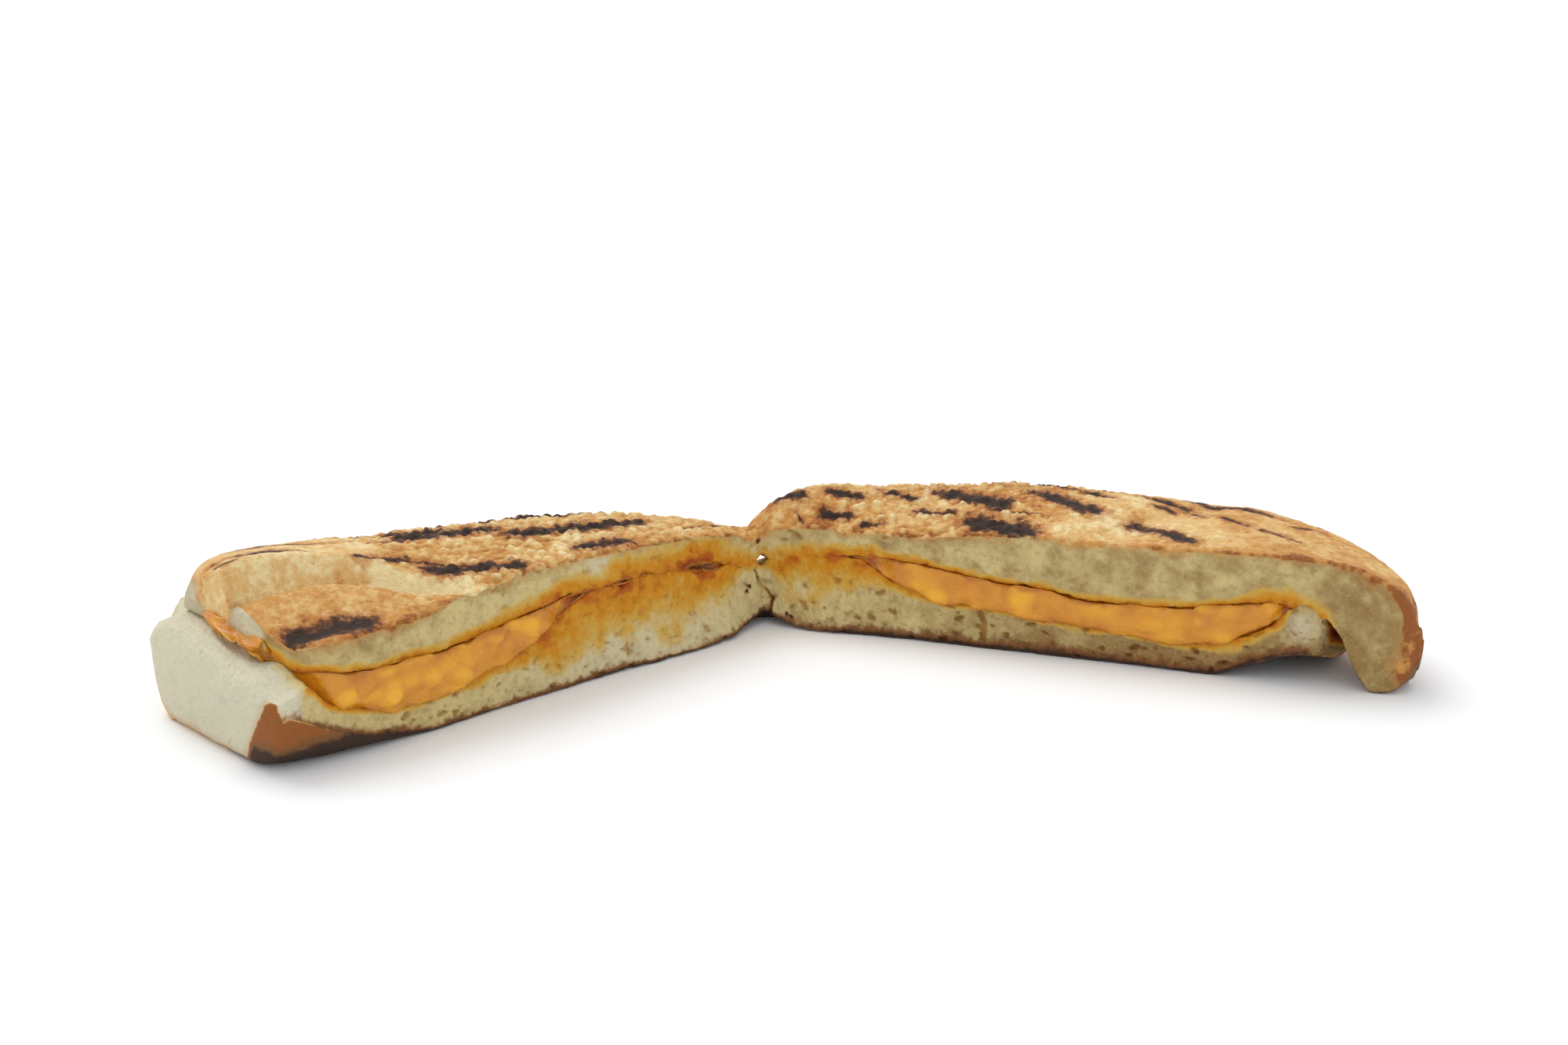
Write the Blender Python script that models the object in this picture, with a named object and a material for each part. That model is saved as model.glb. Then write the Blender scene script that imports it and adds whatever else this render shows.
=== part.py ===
"""Grilled cheese sandwich: a flat oblong roll, filled with melted cheese, pressed on a ridged grill,
cut lengthwise almost to its far end and swung open like a V.

Four solids: the top bread and the bottom bread, each one piece round the uncut far end (the hinge),
and the cheese that runs through each arm. +X runs across the V, the V opens towards -Y, +Z is up.

Every solid is a loft. A station s counts millimetres along the cut line from the hinge: negative on the
left arm, positive on the right arm. At each station a ring is drawn in a vertical plane, where t is the
depth behind the cut face and z the height. Close to the hinge the planes fan round it.
"""
import bpy
import bmesh
import math
import numpy as np

MM = 0.001

# Plan of the V, in millimetres and degrees
HINGE = (-9.156, 39.906)           # where the two cut lines meet, from the middle of the whole box
RIGHT_HEADING = -18.8              # direction of the right arm, from +X
LEFT_HEADING = -135.8              # direction of the left arm, from +X
FAN = 7.0                          # stations closer to the hinge than this turn round it
TOP_LEFT_END = 156.0               # the top slice stops here on the left arm
BOTTOM_LEFT_END = 165.0            # the bottom slice sticks out past it, as a pale ledge
RIGHT_END = 185.5                  # tip of the end crust on the right arm
KNOB_END = 163.0                   # the bottom slice stops here on the right arm, in a torn knob
CHEESE_START = 9.0                 # the cheese layer starts here on both arms
CHEESE_LEFT_END = 158.0
CHEESE_RIGHT_END = 151.0

# Gaps and small radii
GAP = 0.3                          # between two touching solids
CHEESE_BULGE = 1.6                 # how far the melted cheese stands out of the cut face
CUT_EDGE_RADIUS = 2.6              # the crust turns over the cut edge with this radius
HOLE_REACH = 5.0                   # the see-through hole at the hinge runs right through inside this
END_SHIFT = 8.0                    # behind the cut face the bottom slice reaches this much further
END_SHIFT_DEPTH = 24.0

# Height of the crust's edge on the cut face: (station, height)
CUT_EDGE = ((-156, 33.6), (-136, 32.8), (-119, 32.6), (-104, 35.6), (-84, 37.0), (-62, 36.0), (-34, 33.8),
            (-12, 30.4), (-4, 27.4), (0, 28.0), (14, 31.0), (44, 32.0), (68, 34.8), (98, 35.6), (120, 36.2),
            (150, 37.4), (168, 37.4), (178, 33.6), (183, 27.5), (185.5, 21.5))
# Height of the crown, half way across each arm
CROWN = ((-156, 45.6), (-140, 46.6), (-122, 45.6), (-104, 43.4), (-84, 41.6), (-62, 39.4), (-40, 36.8),
         (-24, 34.0), (-12, 31.4), (-4, 27.6), (0, 30.0), (4, 33.6), (12, 36.4), (24, 38.4), (44, 39.4),
         (70, 41.0), (94, 41.0), (116, 39.6), (138, 39.0), (158, 36.4), (172, 31.0), (181, 25.0), (185.5, 21.0))
# Underside of the top slice at the cut face
SEAM_TOP = ((-156, 25.4), (-145, 23.6), (-130, 21.8), (-114, 21.6), (-96, 23.2), (-80, 25.4), (-62, 26.6),
            (-38, 25.6), (-14, 21.8), (-5, 20.2), (0, 21.6), (5, 20.4), (18, 23.6), (32, 24.4), (50, 23.2),
            (68, 20.8), (82, 19.8), (97, 17.9), (110, 17.8), (130, 20.0), (142, 22.4), (153, 22.9),
            (160, 20.4), (165, 15.4), (168.5, 8.0), (171.5, 3.0), (174.5, 0.0), (179, 1.0), (182, 6.0),
            (185.5, 18.5))
# Top of the bottom slice at the cut face
SEAM_BOTTOM = ((-165, 15.0), (-163, 18.6), (-160, 20.6), (-156, 21.0), (-147, 15.6), (-135, 11.4),
               (-122, 9.8), (-106, 11.0), (-94, 13.6), (-82, 18.2), (-72, 23.0), (-62, 24.9), (-38, 23.9),
               (-14, 20.4), (-5, 19.5), (0, 17.8), (5, 19.6), (18, 22.0), (30, 22.2), (40, 17.4), (49, 15.2),
               (60, 12.6), (70, 12.6), (84, 11.0), (100, 10.2), (112, 9.6), (123, 8.6), (134, 10.4),
               (146, 15.8), (153, 20.6), (159, 18.0), (163, 13.4))
# Width of each arm behind the cut face
TOP_WIDTH = ((-156, 56), (-152, 60), (-142, 64), (-124, 65), (-100, 63.5), (-80, 61), (-56, 56), (-34, 47),
             (-18, 34.5), (-8, 22), (0, 14), (8, 22), (18, 34.5), (34, 47), (56, 56), (80, 60), (110, 61),
             (136, 58), (156, 50), (170, 39), (180, 25), (185.5, 9))
BOTTOM_WIDTH = ((-165, 59), (-162, 63.5), (-156, 67), (-146, 68.5), (-124, 66.5), (-100, 63.5), (-80, 61),
                (-56, 56), (-34, 47), (-18, 34.5), (-8, 22), (0, 14), (8, 22), (18, 34.5), (34, 47), (56, 56),
                (80, 60), (110, 61), (136, 57.5), (150, 50.5), (156, 45), (163, 35.5))
# Height of the line round the outside where the two slices meet
SIDE_SEAM = ((-165, 20.0), (-163, 24.0), (-160, 26.4), (-148, 27.2), (-126, 24.6), (-100, 20.4), (-70, 18.0),
             (-30, 17.0), (0, 16.6), (60, 17.0), (130, 17.5), (160, 18.5), (172, 17.0), (185.5, 15.0))
# The cut face steps back from its line where the corners are rounded: (station, depth)
TOP_FRONT = ((-156, 15.0), (-154, 8.0), (-150, 3.2), (-144, 0.6), (-138, 0), (176, 0), (183, 1.6),
             (185.5, 4.0))
# The underside leaves the table at the hinge and under the torn knob: (station, height at the cut face)
UNDER_LIFT = ((-165, 1.2), (-158, 0), (-30, 0), (-16, 0.5), (-4, 2.4), (0, 3.2), (4, 2.4), (14, 0.4), (24, 0),
              (130, 0), (140, 3.6), (150, 7.6), (158, 9.4), (163, 10.6))
LIFT_FADE = 26.0                   # the lift dies out over this depth
# The crust rounds the lower front corner of the left arm: (station, height) and (station, depth)
CORNER_HEIGHT = ((-165, 12.5), (-160, 16.0), (-156, 11.5), (-150, 8.2), (-142, 5.6), (-136, 4.0),
                 (-126, 2.2), (-116, 1.2), (185, 1.2))
CORNER_DEPTH = ((-165, 18.0), (-160, 14.5), (-156, 12.5), (-148, 10.0), (-138, 7.5), (-127, 3.0),
                (-116, 1.2), (185, 1.2))

# Score grooves baked into the top crust: route (station, depth behind the cut face), depth, half width
GROOVES = (
    {"route": ((-158, 31), (-146, 25), (-128, 20), (-115, 10), (-105, 0)), "deep": 5.4, "half": 5.0},
    {"route": ((93, 0), (104, 12), (116, 27), (124, 41)), "deep": 1.6, "half": 5.0},
)
BACK_LOBE_STEP = 4.2               # the lobe behind the left groove stands this much above the front one
UNDER_RADIUS = 9.0                 # the bottom crust turns up to the side over this width
END_ROUND = 7.0                    # the top slice's left end is rounded over this length
END_DROOP = 3.0                    # and by this much
SIDE_INSET = 1.2                   # the inner faces stop this far inside the side

# Points round a ring
INNER_SHARES = (0.0, 0.1, 0.25, 0.42, 0.6, 0.8, 1.0)   # of the way from the cut face to the side
CHEESE_SHARES = 5                  # the cheese layer uses this many of them
UNDER_STEPS = 6
TOP_FACE_STEPS = 11
SIDE_STEPS = 4
CUT_STEPS = 4


def smooth(x):
    """Smooth step from 0 at x = 0 to 1 at x = 1."""
    x = np.clip(x, 0.0, 1.0)
    return x * x * (3.0 - 2.0 * x)


def knots(table, s):
    """Piecewise cubic through the table's (station, value) pairs that never overshoots them."""
    xs, ys = np.array(table, dtype=float).T
    s = np.clip(s, xs[0], xs[-1])
    slope = np.diff(ys) / np.diff(xs)
    tangent = np.zeros_like(ys)
    same = slope[:-1] * slope[1:] > 0
    tangent[1:-1][same] = 2.0 / (1.0 / slope[:-1][same] + 1.0 / slope[1:][same])
    tangent[0], tangent[-1] = slope[0], slope[-1]
    i = np.clip(np.searchsorted(xs, s, side="right") - 1, 0, len(xs) - 2)
    h = xs[i + 1] - xs[i]
    x = (s - xs[i]) / h
    return (ys[i] * (1 + 2 * x) * (1 - x) ** 2 + tangent[i] * h * x * (1 - x) ** 2
            + ys[i + 1] * x * x * (3 - 2 * x) + tangent[i + 1] * h * x * x * (x - 1))


def place(s, t, z):
    """World metres of the point at station s, depth t behind the cut face and height z.

    The cut line is straight along each arm. The depth direction is square to the arm, and turns
    evenly from one arm's to the other's between -FAN and +FAN.
    """
    heading = np.radians(np.where(s < 0, LEFT_HEADING, RIGHT_HEADING))
    depth_left = LEFT_HEADING + 270.0
    depth_right = RIGHT_HEADING + 90.0
    turn = np.radians(depth_left + (depth_right - depth_left) * smooth(0.5 + 0.5 * s / FAN))
    x = HINGE[0] + np.abs(s) * np.cos(heading) + t * np.cos(turn)
    y = HINGE[1] + np.abs(s) * np.sin(heading) + t * np.sin(turn)
    return np.stack([x, y, z + 0.0 * x], axis=-1) * MM


def distance_to_route(route, s, t):
    """Shortest distance in plan from (s, t) to a polyline, and the share of the way along it."""
    best = np.full(np.shape(s), 1e9)
    share = np.zeros(np.shape(s))
    legs = len(route) - 1
    for k in range(legs):
        (s0, t0), (s1, t1) = route[k], route[k + 1]
        ds, dt = s1 - s0, t1 - t0
        along = np.clip(((s - s0) * ds + (t - t0) * dt) / (ds * ds + dt * dt), 0.0, 1.0)
        gap = np.hypot(s - s0 - along * ds, t - t0 - along * dt)
        nearer = gap < best
        best = np.where(nearer, gap, best)
        share = np.where(nearer, (k + along) / legs, share)
    return best, share


def top_height(s, t):
    """Height of the top crust: a dome from the cut edge over the crown to the side, less the grooves."""
    edge, crown, width = knots(CUT_EDGE, s), knots(CROWN, s), knots(TOP_WIDTH, s)
    u = np.clip(t / width, 0.0, 1.0)
    front = edge + (crown - edge) * np.sin(0.5 * np.pi * np.clip(u / 0.52, 0.0, 1.0)) ** 1.15
    fall = np.clip((u - 0.52) / 0.48, 0.0, 1.0)
    side = side_height(s)
    back = side + (crown - side) * (1.0 - fall ** 2.7) ** 0.5
    z = np.where(u < 0.52, front, back)
    behind = smooth((t - np.interp(s, [-158, -105], [29, 0]) - 2.0) / 8.0) * smooth((-104.0 - s) / 22.0)
    z = z - BACK_LOBE_STEP * (1.0 - behind) * smooth((-104.0 - s) / 22.0) * smooth(t / 12.0) * (u < 0.9)
    for groove in GROOVES:
        gap, _ = distance_to_route(groove["route"], s, t)
        z = z - groove["deep"] * np.exp(-(gap / groove["half"]) ** 2)
    return z


def side_height(s):
    """Height of the widest line round the arm: the side seam, dropping with the crust at the right tip."""
    return np.minimum(knots(SIDE_SEAM, s), knots(CROWN, s) - 4.0)


def inner_depths(s, front):
    """Depths of the points across an inner face, from the cut face to just inside the side."""
    return front + np.array([INNER_SHARES]) * (knots(TOP_WIDTH, s) - SIDE_INSET - front)


def seam(s, t, upper):
    """Height of a slice's inner face: open by the cheese at the cut, closed at the side."""
    u = np.clip(t / knots(TOP_WIDTH, s), 0.0, 1.0)
    shifted = s - END_SHIFT * smooth(t / END_SHIFT_DEPTH) * smooth((s - 146.0) / 16.0)
    top, bottom = knots(SEAM_TOP, shifted), knots(SEAM_BOTTOM, np.minimum(shifted, KNOB_END))
    middle = 0.5 * (top + bottom)
    level = middle + (knots(SIDE_SEAM, s) - middle) * smooth(u / 0.85) * smooth((168.0 - shifted) / 8.0)
    share = np.where(np.abs(s) < HOLE_REACH, 1.0, 1.0 - smooth(u / 0.92))
    half = np.maximum(0.5 * (top - bottom) * share, 0.5 * GAP + 0.08)
    if upper:
        past_knob = smooth((shifted - 160.0) / 4.0)
        return (level + half) * (1.0 - past_knob) + top * past_knob
    return level - half


def ring_points(parts):
    """Join the parts of a ring: each part is a pair of arrays (t, z), stations by steps."""
    return (np.concatenate([part[0] for part in parts], axis=1),
            np.concatenate([part[1] for part in parts], axis=1))


def loft(name, s, t, z, colour, roughness, sheen=0.0):
    """Make a closed mesh from rings: s, t and z are arrays of stations by points round the ring."""
    points = place(s, t, z)
    stations, around = points.shape[:2]
    bm = bmesh.new()
    rows = [[bm.verts.new(p) for p in row] for row in points.tolist()]
    for a, b in zip(rows[:-1], rows[1:]):
        for j in range(around):
            k = (j + 1) % around
            bm.faces.new((a[j], a[k], b[k], b[j]))
    bm.faces.new(rows[0][::-1])
    bm.faces.new(rows[-1])
    bmesh.ops.triangulate(bm, faces=bm.faces[:], quad_method="SHORT_EDGE")
    bmesh.ops.recalc_face_normals(bm, faces=bm.faces[:])
    mesh = bpy.data.meshes.new(name)
    bm.to_mesh(mesh)
    bm.free()
    mesh.shade_smooth()
    mesh.set_sharp_from_angle(angle=math.radians(40.0))
    mesh.materials.append(material(name, colour, roughness, sheen))
    piece = bpy.data.objects.new(name, mesh)
    bpy.context.scene.collection.objects.link(piece)
    return piece


def material(name, colour, roughness, sheen):
    """A Principled material in the sub-part's own colour."""
    finish = bpy.data.materials.new(name)
    finish.use_nodes = True
    shader = finish.node_tree.nodes["Principled BSDF"]
    shader.inputs["Base Color"].default_value = (*colour, 1.0)
    shader.inputs["Roughness"].default_value = roughness
    shader.inputs["Metallic"].default_value = 0.0
    shader.inputs["Sheen Weight"].default_value = sheen
    return finish


def all_stations():
    """Stations about 6 mm apart, closer together at the ends, round the hinge and at the knob."""
    dense = ((-160.5, 4.5, 1.5), (-150, 6, 3.0), (0, 8, 1.6), (0, 24, 4.0), (160, 9, 1.8), (172, 6, 1.5),
             (181, 4.5, 1.5))
    wanted = list(np.linspace(-BOTTOM_LEFT_END, RIGHT_END, 60))
    for centre, reach, step in dense:
        wanted += list(np.arange(centre - reach, centre + reach + 0.01, step))
    fixed = (-BOTTOM_LEFT_END, -CHEESE_LEFT_END, -TOP_LEFT_END, -CHEESE_START, CHEESE_START,
             CHEESE_RIGHT_END, KNOB_END, RIGHT_END)
    kept = list(fixed)
    for value in sorted(wanted):
        inside = -BOTTOM_LEFT_END < value < RIGHT_END
        if inside and min(abs(value - other) for other in kept) > 1.1:
            kept.append(value)
    return np.array(sorted(kept))


def between(low, high):
    """The shared stations from low to high, as a column."""
    s = all_stations()
    return s[(s >= low - 0.01) & (s <= high + 0.01)][:, None]


def make_top_bread():
    """Inner face, outer side, domed crust, turned cut edge and cut face, from arm to arm."""
    s = between(-TOP_LEFT_END, RIGHT_END)
    width, front = knots(TOP_WIDTH, s), knots(TOP_FRONT, s)
    t_inner = inner_depths(s, front)
    z_inner = seam(s, t_inner, True)
    droop = END_DROOP * (np.minimum(0.0, s + TOP_LEFT_END - END_ROUND) / END_ROUND) ** 2
    turn = np.linspace(0.0, 1.0, SIDE_STEPS)[None, :] ** 2
    share = np.concatenate([1.0 - 0.16 * turn, np.linspace(0.80, 0.0, TOP_FACE_STEPS)[None, :]], axis=1)
    inset = front + 0.45 * CUT_EDGE_RADIUS
    t_top = inset + share * (width - inset)
    z_top = np.maximum(top_height(s, t_top) - droop, z_inner[:, -1:] + 0.6)
    v = np.linspace(0.0, 1.0, CUT_STEPS)[None, :]
    z_start = z_top[:, -1:] - 0.6 * CUT_EDGE_RADIUS
    z_cut = z_start + (z_inner[:, :1] - z_start) * v
    t_cut = front + 0.0 * z_cut
    t, z = ring_points([(t_inner, z_inner), (t_top, z_top), (t_cut[:, :-1], z_cut[:, :-1])])
    return loft("top_bread", s + 0.0 * t, t, z, (0.62, 0.36, 0.16), 0.72)


def make_bottom_bread():
    """Inner face, cut face, turned lower edge, underside and outer side, from arm to arm."""
    s = between(-BOTTOM_LEFT_END, KNOB_END)
    width = knots(BOTTOM_WIDTH, s)
    shift = END_SHIFT * smooth((s - 146.0) / 16.0)
    t_inner = inner_depths(s, 0.0 * s)[:, ::-1]
    t_inner[:, 0] = width[:, 0] - SIDE_INSET
    z_inner = seam(s + shift * smooth(t_inner / END_SHIFT_DEPTH), t_inner, False)
    lift = knots(UNDER_LIFT, s)
    corner_h, corner_d = knots(CORNER_HEIGHT, s), knots(CORNER_DEPTH, s)
    v = np.linspace(0.0, 1.0, CUT_STEPS + 1)[None, 1:]
    z_cut = z_inner[:, -1:] + (lift + corner_h - z_inner[:, -1:]) * v
    t_cut = 0.0 * z_cut
    angle = 0.5 * np.pi * v
    t_corner = corner_d * (1.0 - np.cos(angle))
    z_corner = lift * np.exp(-t_corner / LIFT_FADE) + corner_h * (1.0 - np.sin(angle))
    floor_width = width - UNDER_RADIUS
    t_under = corner_d + (floor_width - corner_d) * np.linspace(0.0, 1.0, UNDER_STEPS)[None, 1:]
    z_under = lift * np.exp(-t_under / LIFT_FADE) * (1.0 - smooth(t_under / floor_width))
    angle = np.linspace(0.0, 0.5 * np.pi, SIDE_STEPS + 2)[None, 1:]
    t_side = floor_width + UNDER_RADIUS * np.sin(angle)
    z_side = (z_inner[:, :1] - 0.4) * (1.0 - np.cos(angle))
    t, z = ring_points([(t_inner, z_inner), (t_cut, z_cut), (t_corner, z_corner), (t_under, z_under),
                        (t_side, z_side)])
    return loft("bottom_bread", s + shift * smooth(t / END_SHIFT_DEPTH), t, z, (0.70, 0.55, 0.30), 0.78)


def make_cheese(name, start, end):
    """The melted layer of one arm: it fills the seam and bulges out of the cut face."""
    s = between(start, end)
    front = knots(TOP_FRONT, s) * (s > -TOP_LEFT_END)
    t_run = inner_depths(s, front)[:, :CHEESE_SHARES]
    z_high, z_low = seam(s, t_run, True) - GAP, seam(s, t_run, False) + GAP
    taper = smooth((s - start) / 6.0) * smooth((end - s) / 6.0)
    middle, half = 0.5 * (z_high + z_low)[:, :1], 0.5 * (z_high - z_low)[:, :1]
    bulge = CHEESE_BULGE * taper * smooth(half / 2.5)
    t_front = front - 0.2 - bulge * np.array([[0.75, 1.0, 0.75]])
    z_front = middle + half * np.array([[-0.62, 0.0, 0.62]])
    t, z = ring_points([(t_run, z_high), (t_run[:, ::-1], z_low[:, ::-1]), (t_front, z_front)])
    return loft(name, s + 0.0 * t, t, z, (0.86, 0.42, 0.06), 0.35)


def main():
    for old in list(bpy.data.objects):
        bpy.data.objects.remove(old, do_unlink=True)
    make_top_bread()
    make_bottom_bread()
    make_cheese("cheese_left", -CHEESE_LEFT_END, -CHEESE_START)
    make_cheese("cheese_right", CHEESE_START, CHEESE_RIGHT_END)


main()
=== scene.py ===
# %% [markdown]
# # A grilled cheese roll, cut open like a V
# This lesson builds one piece of food: a flat oblong roll with melted cheese in it, pressed on a ridged
# grill, cut lengthwise almost to the far end and swung open. The far end is the hinge of the V.
# Food has no straight lines, so nearly everything here is a fine grid surface bent into shape by numpy,
# and finished by materials that are drawn by formulas.

# %% Load the frame
import math
import bpy
import numpy as np
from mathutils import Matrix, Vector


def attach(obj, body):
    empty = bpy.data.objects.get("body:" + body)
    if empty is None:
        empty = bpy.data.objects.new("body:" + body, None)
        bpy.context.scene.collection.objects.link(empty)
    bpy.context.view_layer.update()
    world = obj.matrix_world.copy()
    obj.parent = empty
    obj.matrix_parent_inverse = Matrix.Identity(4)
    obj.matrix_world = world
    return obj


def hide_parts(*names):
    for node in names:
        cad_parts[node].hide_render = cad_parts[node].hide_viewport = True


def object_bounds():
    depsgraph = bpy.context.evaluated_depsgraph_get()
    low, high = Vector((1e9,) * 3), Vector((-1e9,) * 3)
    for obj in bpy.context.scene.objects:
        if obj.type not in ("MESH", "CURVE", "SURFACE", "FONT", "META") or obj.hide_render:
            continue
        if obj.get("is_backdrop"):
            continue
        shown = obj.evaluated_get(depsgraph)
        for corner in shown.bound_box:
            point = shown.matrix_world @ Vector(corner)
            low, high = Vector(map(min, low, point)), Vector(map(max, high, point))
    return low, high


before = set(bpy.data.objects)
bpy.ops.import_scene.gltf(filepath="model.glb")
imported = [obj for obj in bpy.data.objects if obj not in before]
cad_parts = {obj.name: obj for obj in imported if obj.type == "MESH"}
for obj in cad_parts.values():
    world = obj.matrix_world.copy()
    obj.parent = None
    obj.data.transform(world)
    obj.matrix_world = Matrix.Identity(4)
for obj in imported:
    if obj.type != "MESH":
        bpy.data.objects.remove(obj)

size_before = [list(corner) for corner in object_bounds()]
low, high = (np.array(corner) * 1000.0 for corner in size_before)      # millimetres
print("CAD box, mm:", (high - low).round(1), "nodes:", sorted(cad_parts))

# %% [markdown]
# ## Where things are
# Every point of the sandwich is given by three numbers. The station s counts millimetres along the cut
# line from the hinge, negative on the left arm and positive on the right one. The depth t counts
# millimetres behind the cut face, and z is the height. One function turns the three into a place in the
# world, so that each table below can be read like a drawing of the cut face.

# %% Stations, depths and heights
HINGE = 0.5 * (low + high)[:2] + np.array((-9.156, 39.906))      # from the middle of the box
RIGHT_HEADING, LEFT_HEADING = -18.8, -135.8      # directions of the two arms, degrees from +X
FAN = 7.0                                        # sections closer to the hinge than this turn round it


def smooth(x):
    """Smooth step: 0 below x = 0, 1 above x = 1, and 3x^2 - 2x^3 between."""
    x = np.clip(x, 0.0, 1.0)
    return x * x * (3.0 - 2.0 * x)


def knots(table, s):
    """A curve through (station, value) pairs: cubic pieces whose tangents never overshoot the values."""
    xs, ys = np.array(table, dtype=float).T
    s = np.clip(s, xs[0], xs[-1])
    slope = np.diff(ys) / np.diff(xs)
    tangent = np.zeros_like(ys)
    same = slope[:-1] * slope[1:] > 0
    tangent[1:-1][same] = 2.0 / (1.0 / slope[:-1][same] + 1.0 / slope[1:][same])
    tangent[0], tangent[-1] = slope[0], slope[-1]
    i = np.clip(np.searchsorted(xs, s, side="right") - 1, 0, len(xs) - 2)
    h = xs[i + 1] - xs[i]
    x = (s - xs[i]) / h
    return (ys[i] * (1 + 2 * x) * (1 - x) ** 2 + tangent[i] * h * x * (1 - x) ** 2
            + ys[i + 1] * x * x * (3 - 2 * x) + tangent[i + 1] * h * x * x * (x - 1))


def place(s, t, z):
    """World millimetres of (s, t, z): along the arm's heading by |s|, then back by t square to the arm.

    Within FAN of the hinge the direction of t turns smoothly from one arm's to the other's.
    """
    heading = np.radians(np.where(s < 0, LEFT_HEADING, RIGHT_HEADING))
    left, right = LEFT_HEADING + 270.0, RIGHT_HEADING + 90.0
    turn = np.radians(left + (right - left) * smooth(0.5 + 0.5 * s / FAN))
    x = HINGE[0] + np.abs(s) * np.cos(heading) + t * np.cos(turn)
    y = HINGE[1] + np.abs(s) * np.sin(heading) + t * np.sin(turn)
    return np.stack([x, y, z + 0.0 * x], axis=-1)


print("hinge at", HINGE.round(1), "mm; tip of the right arm at", place(185.5, 4.0, 20.0).round(1))

# %% [markdown]
# ## The drawing of the two slices
# The two slices share one set of tables: the height of the crust where it meets the cut, the height of
# the crown, the two lines that bound the cheese, and the width of each arm. Every pair is a station and
# a value, in millimetres. The plain solids were made from nearly the same tables, so the fine surfaces
# land on top of the plain ones.

# %% Tables of the cut face
TOP_LEFT_END, BOTTOM_LEFT_END, RIGHT_END, KNOB_END = -156.0, -165.0, 185.5, 163.0
CUT_EDGE = ((-156, 33.6), (-136, 32.8), (-119, 32.6), (-104, 35.6), (-84, 37.0), (-62, 36.0), (-34, 33.8),
            (-12, 30.4), (-4, 27.4), (0, 28.0), (14, 31.0), (44, 32.0), (68, 34.8), (98, 35.6), (120, 36.2),
            (150, 37.0), (168, 36.0), (176, 33.2), (181, 29.0), (184, 24.0), (185.5, 19.0))
CROWN = ((-156, 46.2), (-140, 45.4), (-122, 43.4), (-104, 40.8), (-84, 39.2), (-62, 37.8), (-40, 35.4),
         (-24, 33.4), (-12, 31.4), (-4, 28.2), (-1.5, 27.6), (1, 32.4), (4, 36.8), (8, 39.0), (14, 39.2),
         (24, 38.0), (44, 37.2), (70, 38.9), (94, 38.7), (116, 37.8), (138, 37.2), (158, 34.8), (172, 31.0),
         (181, 27.4), (184, 23.6), (185.5, 19.0))
SEAM_TOP = ((-156, 25.4), (-145, 23.6), (-130, 21.8), (-114, 21.6), (-96, 23.2), (-80, 25.4), (-62, 26.6),
            (-38, 25.6), (-14, 21.8), (-5, 20.2), (0, 21.6), (5, 20.4), (18, 23.6), (32, 24.4), (50, 23.2),
            (68, 20.8), (82, 19.8), (97, 17.9), (110, 17.8), (130, 20.0), (142, 22.4), (153, 22.9),
            (160, 20.4), (165, 15.4), (168.5, 8.0), (171.5, 3.0), (174.5, 0.0), (179, 0.6), (182, 2.6),
            (184, 5.8), (185.5, 10.0))
SEAM_BOTTOM = ((-165, 15.0), (-163, 18.6), (-160, 20.6), (-156, 21.0), (-147, 15.6), (-135, 11.4),
               (-122, 9.8), (-106, 11.0), (-94, 13.6), (-82, 18.2), (-72, 23.0), (-62, 24.9), (-38, 23.9),
               (-14, 20.4), (-5, 19.5), (0, 17.8), (5, 19.6), (18, 22.0), (30, 22.2), (40, 17.4), (49, 15.2),
               (60, 12.6), (70, 12.6), (84, 11.0), (100, 10.2), (112, 9.6), (123, 8.6), (134, 10.4),
               (146, 15.8), (151, 20.4), (154, 22.2), (157, 21.8), (160, 18.6), (163, 13.4))
TOP_WIDTH = ((-156, 56), (-152, 60), (-142, 64), (-124, 65), (-100, 63.5), (-80, 61), (-56, 56), (-34, 47),
             (-18, 34.5), (-8, 22), (0, 14), (8, 22), (18, 34.5), (34, 47), (56, 56), (80, 60), (110, 61),
             (136, 58), (156, 50), (170, 39), (180, 25), (185.5, 9))
BOTTOM_WIDTH = ((-165, 59), (-162, 63.5), (-156, 67), (-146, 68.5), (-124, 66.5), (-100, 63.5), (-80, 61),
                (-56, 56), (-34, 47), (-18, 34.5), (-8, 22), (0, 14), (8, 22), (18, 34.5), (34, 47), (56, 56),
                (80, 60), (110, 61), (136, 57.5), (150, 50.5), (156, 45), (163, 35.5))
SIDE_SEAM = ((-165, 24.0), (-163, 27.4), (-160, 29.4), (-148, 29.0), (-126, 24.6), (-100, 20.4), (-70, 18.0),
             (-30, 17.0), (0, 16.6), (60, 17.0), (130, 17.5), (160, 18.5), (172, 16.0), (185.5, 13.0))
TOP_FRONT = ((-156, 15.0), (-154, 8.0), (-150, 3.2), (-144, 0.6), (-138, 0), (176, 0), (183, 1.6),
             (185.5, 4.0))
UNDER_LIFT = ((-165, 1.2), (-158, 0), (-30, 0), (-16, 0.5), (-4, 2.4), (0, 3.2), (4, 2.4), (14, 0.4), (24, 0),
              (130, 0), (140, 3.6), (150, 7.6), (158, 9.4), (163, 10.6))
CORNER_HEIGHT = ((-165, 12.5), (-160, 16.0), (-156, 14.2), (-150, 10.6), (-142, 6.8), (-136, 4.4),
                 (-126, 2.2), (-116, 0.7), (185, 0.7))
CORNER_DEPTH = ((-165, 18.0), (-160, 14.5), (-156, 12.5), (-148, 10.0), (-138, 7.5), (-127, 3.0),
                (-116, 1.2), (185, 1.2))
print("length of the cut line, mm:", RIGHT_END - BOTTOM_LEFT_END)

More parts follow.
